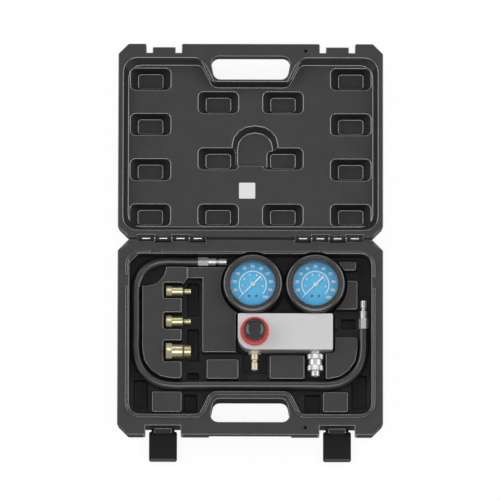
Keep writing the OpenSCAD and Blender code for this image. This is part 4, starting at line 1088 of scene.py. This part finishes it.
@dataclass
class Gauge:
    """Dial gauge in a rubber boot: print, hub cap and small screws."""

    bench: Bench
    side: Side
    boot_edge: float = 0.6
    bezel_edge: float = 0.4
    dial_top: float = 26.85
    print_lift: float = 0.03
    print_thick: float = 0.05
    start_angle: float = 225.0
    sweep: float = 270.0
    tick_out: float = 27.0
    small_ticks: int = 50
    small_in: float = 25.9
    small_w: float = 0.28
    main_ticks: int = 10
    main_in: float = 25.0
    main_w: float = 0.5
    number_r: float = 22.6
    number_size: float = 4.8
    arc_r: float = 16.7
    arc_w: float = 1.1
    arc_steps: int = 90
    inner_numbers: int = 6
    inner_r: float = 12.6
    inner_size: float = 3.6
    inner_step: float = 39.15
    boldness: float = 0.035
    hub_z: float = 29.28
    cap_profile: Profile = (
        (0.0, 0.0), (2.7, 0.0), (2.7, 0.45), (2.3, 0.8), (1.2, 0.95), (1.0, 0.7), (0.0, 0.6))
    cap_steps: int = 40
    screw_at: Span = (4.3, -14.3)
    screw_lift: float = 0.01
    screw_profile: Profile = (
        (0.0, 0.0), (1.5, 0.0), (1.5, 0.3), (1.1, 0.6), (0.35, 0.68), (0.25, 0.4), (0.0, 0.4))
    screw_steps: int = 24

    def build(self) -> None:
        """Makes the gauge's pieces."""
        label = self.side.label
        for node, name, finish, width in (("gauge_boot", "rubber_boot", BOOT, self.boot_edge),
                                          ("gauge_bezel", "bezel_ring", GAUGE, self.bezel_edge)):
            ring = self.bench.rounded_copy(f"{node}_{label}", f"{name}_{label}", Rounding(width))
            self.bench.hand_over(ring, finish, "tester", f"{node}_{label}")
        self._print()
        cap = self._turned(f"pointer_cap_{label}", self.cap_profile, self.cap_steps, (0.0, 0.0), self.hub_z)
        self.bench.hand_over(cap, CHROME, f"{label}_pointer")
        x, y = self.screw_at
        for end, at in (("a", (-x, y)), ("b", (x, y))):
            screw = self._turned(f"dial_screw_{label}_{end}", self.screw_profile, self.screw_steps, at,
                                 self.dial_top + self.screw_lift)
            self.bench.hand_over(screw, SCREW, "tester")

    def _print(self) -> None:
        """Prints the two scales with their numbers."""
        parts = [self._band(), self._ticks(self.small_ticks, self.small_in, self.small_w),
                 self._ticks(self.main_ticks, self.main_in, self.main_w)]
        for k in range(1, self.main_ticks + 1):
            degrees = self.start_angle - self.sweep * (k / self.main_ticks)
            parts.append(self._number(str(10 * k), self.number_r, degrees, self.number_size))
        for k in range(1, self.inner_numbers + 1):
            degrees = self.start_angle - k * self.inner_step
            parts.append(self._number(str(k), self.inner_r, degrees, self.inner_size))
        face = self.bench.joined(parts, f"dial_print_{self.side.label}")
        with self.bench.editing(face):
            bpy.ops.mesh.remove_doubles(threshold=PRINT_WELD)
            bpy.ops.mesh.normals_make_consistent(inside=False)
        self._place(face, (0.0, 0.0), self.dial_top + self.print_lift)
        self.bench.hand_over(face, WHITE, "tester")

    def _place(self, piece: Piece, off: Span, height: float) -> None:
        """Sets a piece on this gauge, off its middle and at a height in mm."""
        at = Vector((self.side.value[0] + off[0], self.side.value[1] + off[1], height)) * MM
        self.bench.settle(piece, Matrix.Translation(at))

    def _turned(self, name: str, profile: Profile, steps: int, off: Span, height: float) -> Piece:
        """Turns a small cap or screw head and sets it on this gauge.

        Args:
            name: Name of the piece.
            profile: Radius and height of each vertex in mm.
            steps: Facets round the piece.
            off: How far it lies from the gauge's middle, in mm.
            height: Height of its underside in mm.

        Returns:
            The piece.
        """
        piece = self.bench.turned(name, profile, steps)
        self.bench.smooth(piece)
        self._place(piece, off, height)
        return piece

    def _spread(self, steps: int, copies: bool) -> None:
        """Turns what is selected to the start of the scale, and spins it over the scale.

        Args:
            steps: Steps over the whole scale.
            copies: Whether each step is a copy, or part of one strip.
        """
        bpy.ops.transform.rotate(value=-math.radians(self.start_angle), orient_axis="Z",
                                 center_override=ORIGIN)
        bpy.ops.mesh.spin(steps=steps, angle=math.radians(self.sweep), dupli=copies, center=ORIGIN, axis=UP)

    def _thicken(self, piece: Piece) -> Piece:
        """Gives a flat print its thickness."""
        self.bench.modify(piece, "SOLIDIFY", thickness=self.print_thick * MM, offset=1.0)
        return piece

    def _band(self) -> Piece:
        """Prints the arc of the inner scale.

        Returns:
            The arc.
        """
        half = self.arc_w / 2
        band = self.bench.outline("arc", ((self.arc_r - half, 0.0), (self.arc_r + half, 0.0)), closed=False)
        with self.bench.editing(band):
            self._spread(self.arc_steps, copies=False)
            bpy.ops.mesh.select_all(action="SELECT")
            bpy.ops.mesh.normals_make_consistent(inside=False)
        return self._thicken(band)

    def _ticks(self, count: int, inner: float, width: float) -> Piece:
        """Prints one tick and repeats it round the scale.

        Args:
            count: Steps over the whole scale.
            inner: Distance of its inner end from the middle, in mm.
            width: Width of a tick in mm.

        Returns:
            All the ticks.
        """
        ticks = self.bench.plane("ticks", 1.0)
        with self.bench.editing(ticks):
            bpy.ops.transform.resize(value=(self.tick_out - inner, width, 1.0))
            bpy.ops.transform.translate(value=((self.tick_out + inner) / 2 * MM, 0.0, 0.0))
            self._spread(count, copies=True)
        return self._thicken(ticks)

    def _number(self, text: str, radius: float, degrees: float, size: float) -> Piece:
        """Prints one upright number.

        Args:
            text: The number.
            radius: Distance of its middle from the dial's middle, in mm.
            degrees: Angle round the dial.
            size: Height of the type in mm.

        Returns:
            The number as a mesh.
        """
        bpy.ops.object.select_all(action="DESELECT")
        bpy.ops.object.text_add()
        letters = bpy.context.active_object.data
        letters.body = text
        letters.size = size * MM
        letters.align_x = "CENTER"
        letters.align_y = "CENTER"
        letters.extrude = self.print_thick / 2 * MM
        letters.offset = self.boldness * size * MM
        letters.resolution_u = 3
        bpy.ops.object.convert(target="MESH")
        turn = math.radians(degrees)
        at = Vector((radius * math.cos(turn), radius * math.sin(turn), self.print_thick / 2)) * MM
        number = bpy.context.active_object
        self.bench.settle(number, Matrix.Translation(at))
        return number


@dataclass
class Manifold:
    """Silver block with the regulator, the inlet and the quick coupler.

    Each row of fittings is a solid, its piece, its finish, its body and the width of its edges in mm.
    """

    bench: Bench
    fittings: Sequence[tuple[str, str, Finish, str, float]] = (
        ("manifold_block", "manifold", BLOCK, "tester", 0.6),
        ("inlet_nipple", "inlet_plug", BRASS, "tester", 0.25),
        ("lock_ring", "red_ring", RING, "tester", 0.5),
        ("knob", "regulator_knob_cap", KNOB, "regulator_knob", 0.12),
        ("coupler_body", "coupler_barrel", CHROME, "tester", 0.25))
    coupler_at: Triple = (80.4, -15.0, 19.0)
    sleeve_start: float = 3.5
    sleeve_end: float = 24.8
    sleeve_step: float = 18.5
    ring_r: float = 9.9
    ring_l: float = 6.6
    waist_r: float = 8.4
    back_r: float = 6.45
    front_r: float = 5.65
    edge: float = 0.8
    ring_edge: float = 0.3
    knurl_steps: int = 96
    knurl_depth: float = 0.975
    knurl_near: float = 0.01
    knurl_smooth: float = 25.0

    def build(self) -> None:
        """Makes the block's visible pieces."""
        for node, name, finish, body, width in self.fittings:
            piece = self.bench.rounded_copy(node, name, Rounding(width))
            self.bench.hand_over(piece, finish, body, node)
        self._sleeve()

    def _sleeve(self) -> None:
        """Turns the coupler's sleeve and knurls its two rings."""
        ring, edge, small = self.ring_r, self.edge, self.ring_edge
        start, end = self.sleeve_start, self.sleeve_end
        first, last = start + self.ring_l, end - self.ring_l
        sleeve = self.bench.turned("coupler_grip", (
            (self.back_r, start), (ring - edge, start), (ring, start + edge), (ring, first - small),
            (ring - small, first), (self.waist_r, first + edge), (self.waist_r, last - edge),
            (ring - small, last), (ring, last + small), (ring, end - edge), (ring - edge, end),
            (self.front_r, end), (self.front_r, self.sleeve_step), (self.back_r, self.sleeve_step)),
            self.knurl_steps)
        self.bench.mark(sleeve, self._in_groove)
        with self.bench.editing(sleeve, everything=False):
            bpy.ops.transform.resize(value=(self.knurl_depth, self.knurl_depth, 1.0), center_override=ORIGIN)
        self.bench.smooth(sleeve, self.knurl_smooth)
        lie = Matrix.Translation(Vector(self.coupler_at) * MM) @ Matrix.Rotation(math.radians(90.0), 4, "X")
        self.bench.settle(sleeve, lie)
        self.bench.hand_over(sleeve, CHROME, "sleeve", "coupler_sleeve")

    def _in_groove(self, at: Vector) -> bool:
        """Whether a corner of the turned sleeve lies in a groove of the knurl."""
        turn = round(math.atan2(at.y, at.x) / (math.tau / self.knurl_steps))
        return math.hypot(at.x, at.y) / MM > self.ring_r - self.knurl_near and turn % 2 == 0


@dataclass
class Spring:
    """Coil spring that is pressed together by a sliding piece."""

    bench: Bench
    node: str
    slider: str
    axis: Triple
    edge: float = 0.04

    def build(self) -> None:
        """Makes the coil in steel, bakes it in place and hides its solid."""
        coil = self.bench.rounded_copy(self.node, f"{self.node}_coil", Rounding(self.edge), 1)
        coil.data.materials.clear()
        coil.data.materials.append(self.bench.paints.material(PIN))
        coil.data.polygons.foreach_set("material_index", [0] * len(coil.data.polygons))
        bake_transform(coil)
        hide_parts(self.node)
        LOG.info("%s gives way between tester and %s", coil.name, self.slider)


@dataclass
class Adapter:
    """Passivated spark-plug-hole adapter with a threaded tip."""

    bench: Bench
    size: str
    y: float
    head_d: float
    body_d: float
    tip_d: float
    pitch: float
    x: float = -104.0
    floor: float = 13.3
    head_l: float = 7.4
    head_edge: float = 0.5
    face_share: float = 0.43
    bore_depth: float = 1.2
    shaft_start: float = 0.5
    shaft_steps: int = 48
    shaft_smooth: float = 30.0
    body_l: float = 13.6
    neck_l: float = 1.4
    neck_depth: float = 0.4
    tip_l: float = 8.4
    edge: float = 0.8
    bore_r: float = 2.0
    bore_edge: float = 0.3
    thread_depth: float = 0.18
    thread_sunk: float = 0.1
    thread_half: float = 0.36
    thread_crest: float = 0.06
    thread_end: float = 0.6
    thread_out: float = 0.75
    thread_steps: int = 32

    @property
    def height(self) -> float:
        """Height of the adapter's middle line in mm."""
        return self.floor + self.head_d * math.cos(math.radians(30.0)) / 2

    def build(self) -> None:
        """Makes the adapter from its shaft, head and thread."""
        core = self.tip_d / 2 - self.thread_depth
        body_end = self.head_l + self.body_l
        neck_end = body_end + self.neck_l
        end = neck_end + self.tip_l
        neck, body = self.tip_d / 2 - self.neck_depth, self.body_d / 2
        shaft = self.bench.turned("shaft", (
            (self.bore_r, self.shaft_start), (body, self.shaft_start), (body, body_end - self.edge),
            (body - self.edge, body_end), (neck, body_end), (neck, neck_end), (core, neck_end),
            (core, end - self.neck_depth), (core - self.neck_depth, end), (self.bore_r + self.bore_edge, end),
            (self.bore_r, end - self.bore_edge)), self.shaft_steps)
        piece = self.bench.joined((shaft, self._head(), self._thread(core, neck_end, end)),
                                  f"plug_adapter_{self.size}")
        self.bench.smooth(piece, self.shaft_smooth)
        lie = Matrix.Translation(Vector((self.x, self.y, self.height)) * MM)
        turn = Matrix.Rotation(math.radians(90.0), 4, "Y") @ Matrix.Rotation(math.radians(90.0), 4, "Z")
        self.bench.settle(piece, lie @ turn)
        self.bench.hand_over(piece, ZINC, f"{self.size}_adapter", f"adapter_{self.size}")

    def _head(self) -> Piece:
        """Makes the hex head with a chamfer at both ends.

        Returns:
            The head, standing on the origin.
        """
        bpy.ops.object.select_all(action="DESELECT")
        bpy.ops.mesh.primitive_cylinder_add(vertices=6, radius=self.head_d / 2 * MM, depth=self.head_l * MM,
                                            location=(0.0, 0.0, self.head_l / 2 * MM))
        head = self.bench.named("head")
        bpy.ops.object.transform_apply(location=True, rotation=True, scale=True)
        self.bench.mark(head, lambda at: at.z < self.head_l / 2 * MM)
        with self.bench.editing(head, everything=False):
            bpy.ops.mesh.inset(thickness=(self.head_d * self.face_share - self.bore_r) * MM)
            bpy.ops.mesh.extrude_region_move(
                TRANSFORM_OT_translate={"value": (0.0, 0.0, self.bore_depth * MM)})
        self.bench.modify(head, "BEVEL", limit_method="ANGLE", width=self.head_edge * MM, segments=2)
        return head

    def _thread(self, core: float, start: float, end: float) -> Piece:
        """Winds a thread ridge round the tip.

        Args:
            core: Radius under the ridge in mm.
            start: Where the thread starts along the adapter, in mm.
            end: Where the adapter ends, in mm.

        Returns:
            The ridge.
        """
        half = self.pitch * self.thread_half
        low, root, crest = start + half, core - self.thread_sunk, self.tip_d / 2
        ridge = self.bench.outline("ridge", (
            (root, low - half), (crest, low - self.thread_crest), (crest, low + self.thread_crest),
            (root, low + half)))
        turns = max(1, int((end - start - self.thread_end) / self.pitch - self.thread_out))
        self.bench.modify(ridge, "SCREW", axis="Z", steps=self.thread_steps, render_steps=self.thread_steps,
                          screw_offset=self.pitch * MM, iterations=turns, use_merge_vertices=True)
        with self.bench.editing(ridge):
            bpy.ops.mesh.remove_doubles(threshold=WELD)
            bpy.ops.mesh.fill_holes(sides=4)
            bpy.ops.mesh.normals_make_consistent(inside=False)
        return ridge


def paint_frame(frame: dict[str, Any], paints: Paintbox) -> None:
    """Gives each solid of the frame the material of its slot.

    Args:
        frame: The loaded frame.
        paints: The paints.
    """
    for part in frame["record"]["subparts"]:
        node = frame["nodes"][part["node"]]
        slot = part["material_slot"]
        if slot == "gauge_glass":
            material = paints.glass()
        elif slot == DIAL.name:
            side = next(side for side in Side if part["node"].endswith(side.label))
            material = paints.dial(f"{DIAL.name}_{side.label}", side.value)
        else:
            material = paints.material(FINISHES[slot])
        for place in node.material_slots:
            place.material = material
        if not node.material_slots:
            node.data.materials.append(material)


def plain(box: Sequence[Sequence[float]]) -> list[list[float]]:
    """A box as plain lists of numbers."""
    return [[float(value) for value in corner] for corner in box]


def main() -> None:
    logging.basicConfig(level=logging.INFO, format="%(name)s: %(message)s")
    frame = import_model()
    cad_box = plain(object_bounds())
    paints = Paintbox()
    bench = Bench(frame, paints)
    Studio().build(cad_box[0][2])
    WhipHose(bench).build()
    paint_frame(frame, paints)
    CarryCase(bench).build()
    for side in Side:
        Gauge(bench, side).build()
    Manifold(bench).build()
    Spring(bench, "range_spring", "regulator_nut", UP).build()
    Spring(bench, "poppet_spring", "valve", UP).build()
    Spring(bench, "sleeve_spring", "sleeve", (0.0, -1.0, 0.0)).build()
    Adapter(bench, "small", 60.0, head_d=15.4, body_d=12.3, tip_d=7.6, pitch=0.8).build()
    Adapter(bench, "medium", 22.0, head_d=16.7, body_d=12.6, tip_d=7.2, pitch=0.8).build()
    Adapter(bench, "large", -16.0, head_d=22.2, body_d=18.0, tip_d=16.4, pitch=1.0).build()
    LOG.info("all pieces are built")


if __name__ == "__main__":
    main()
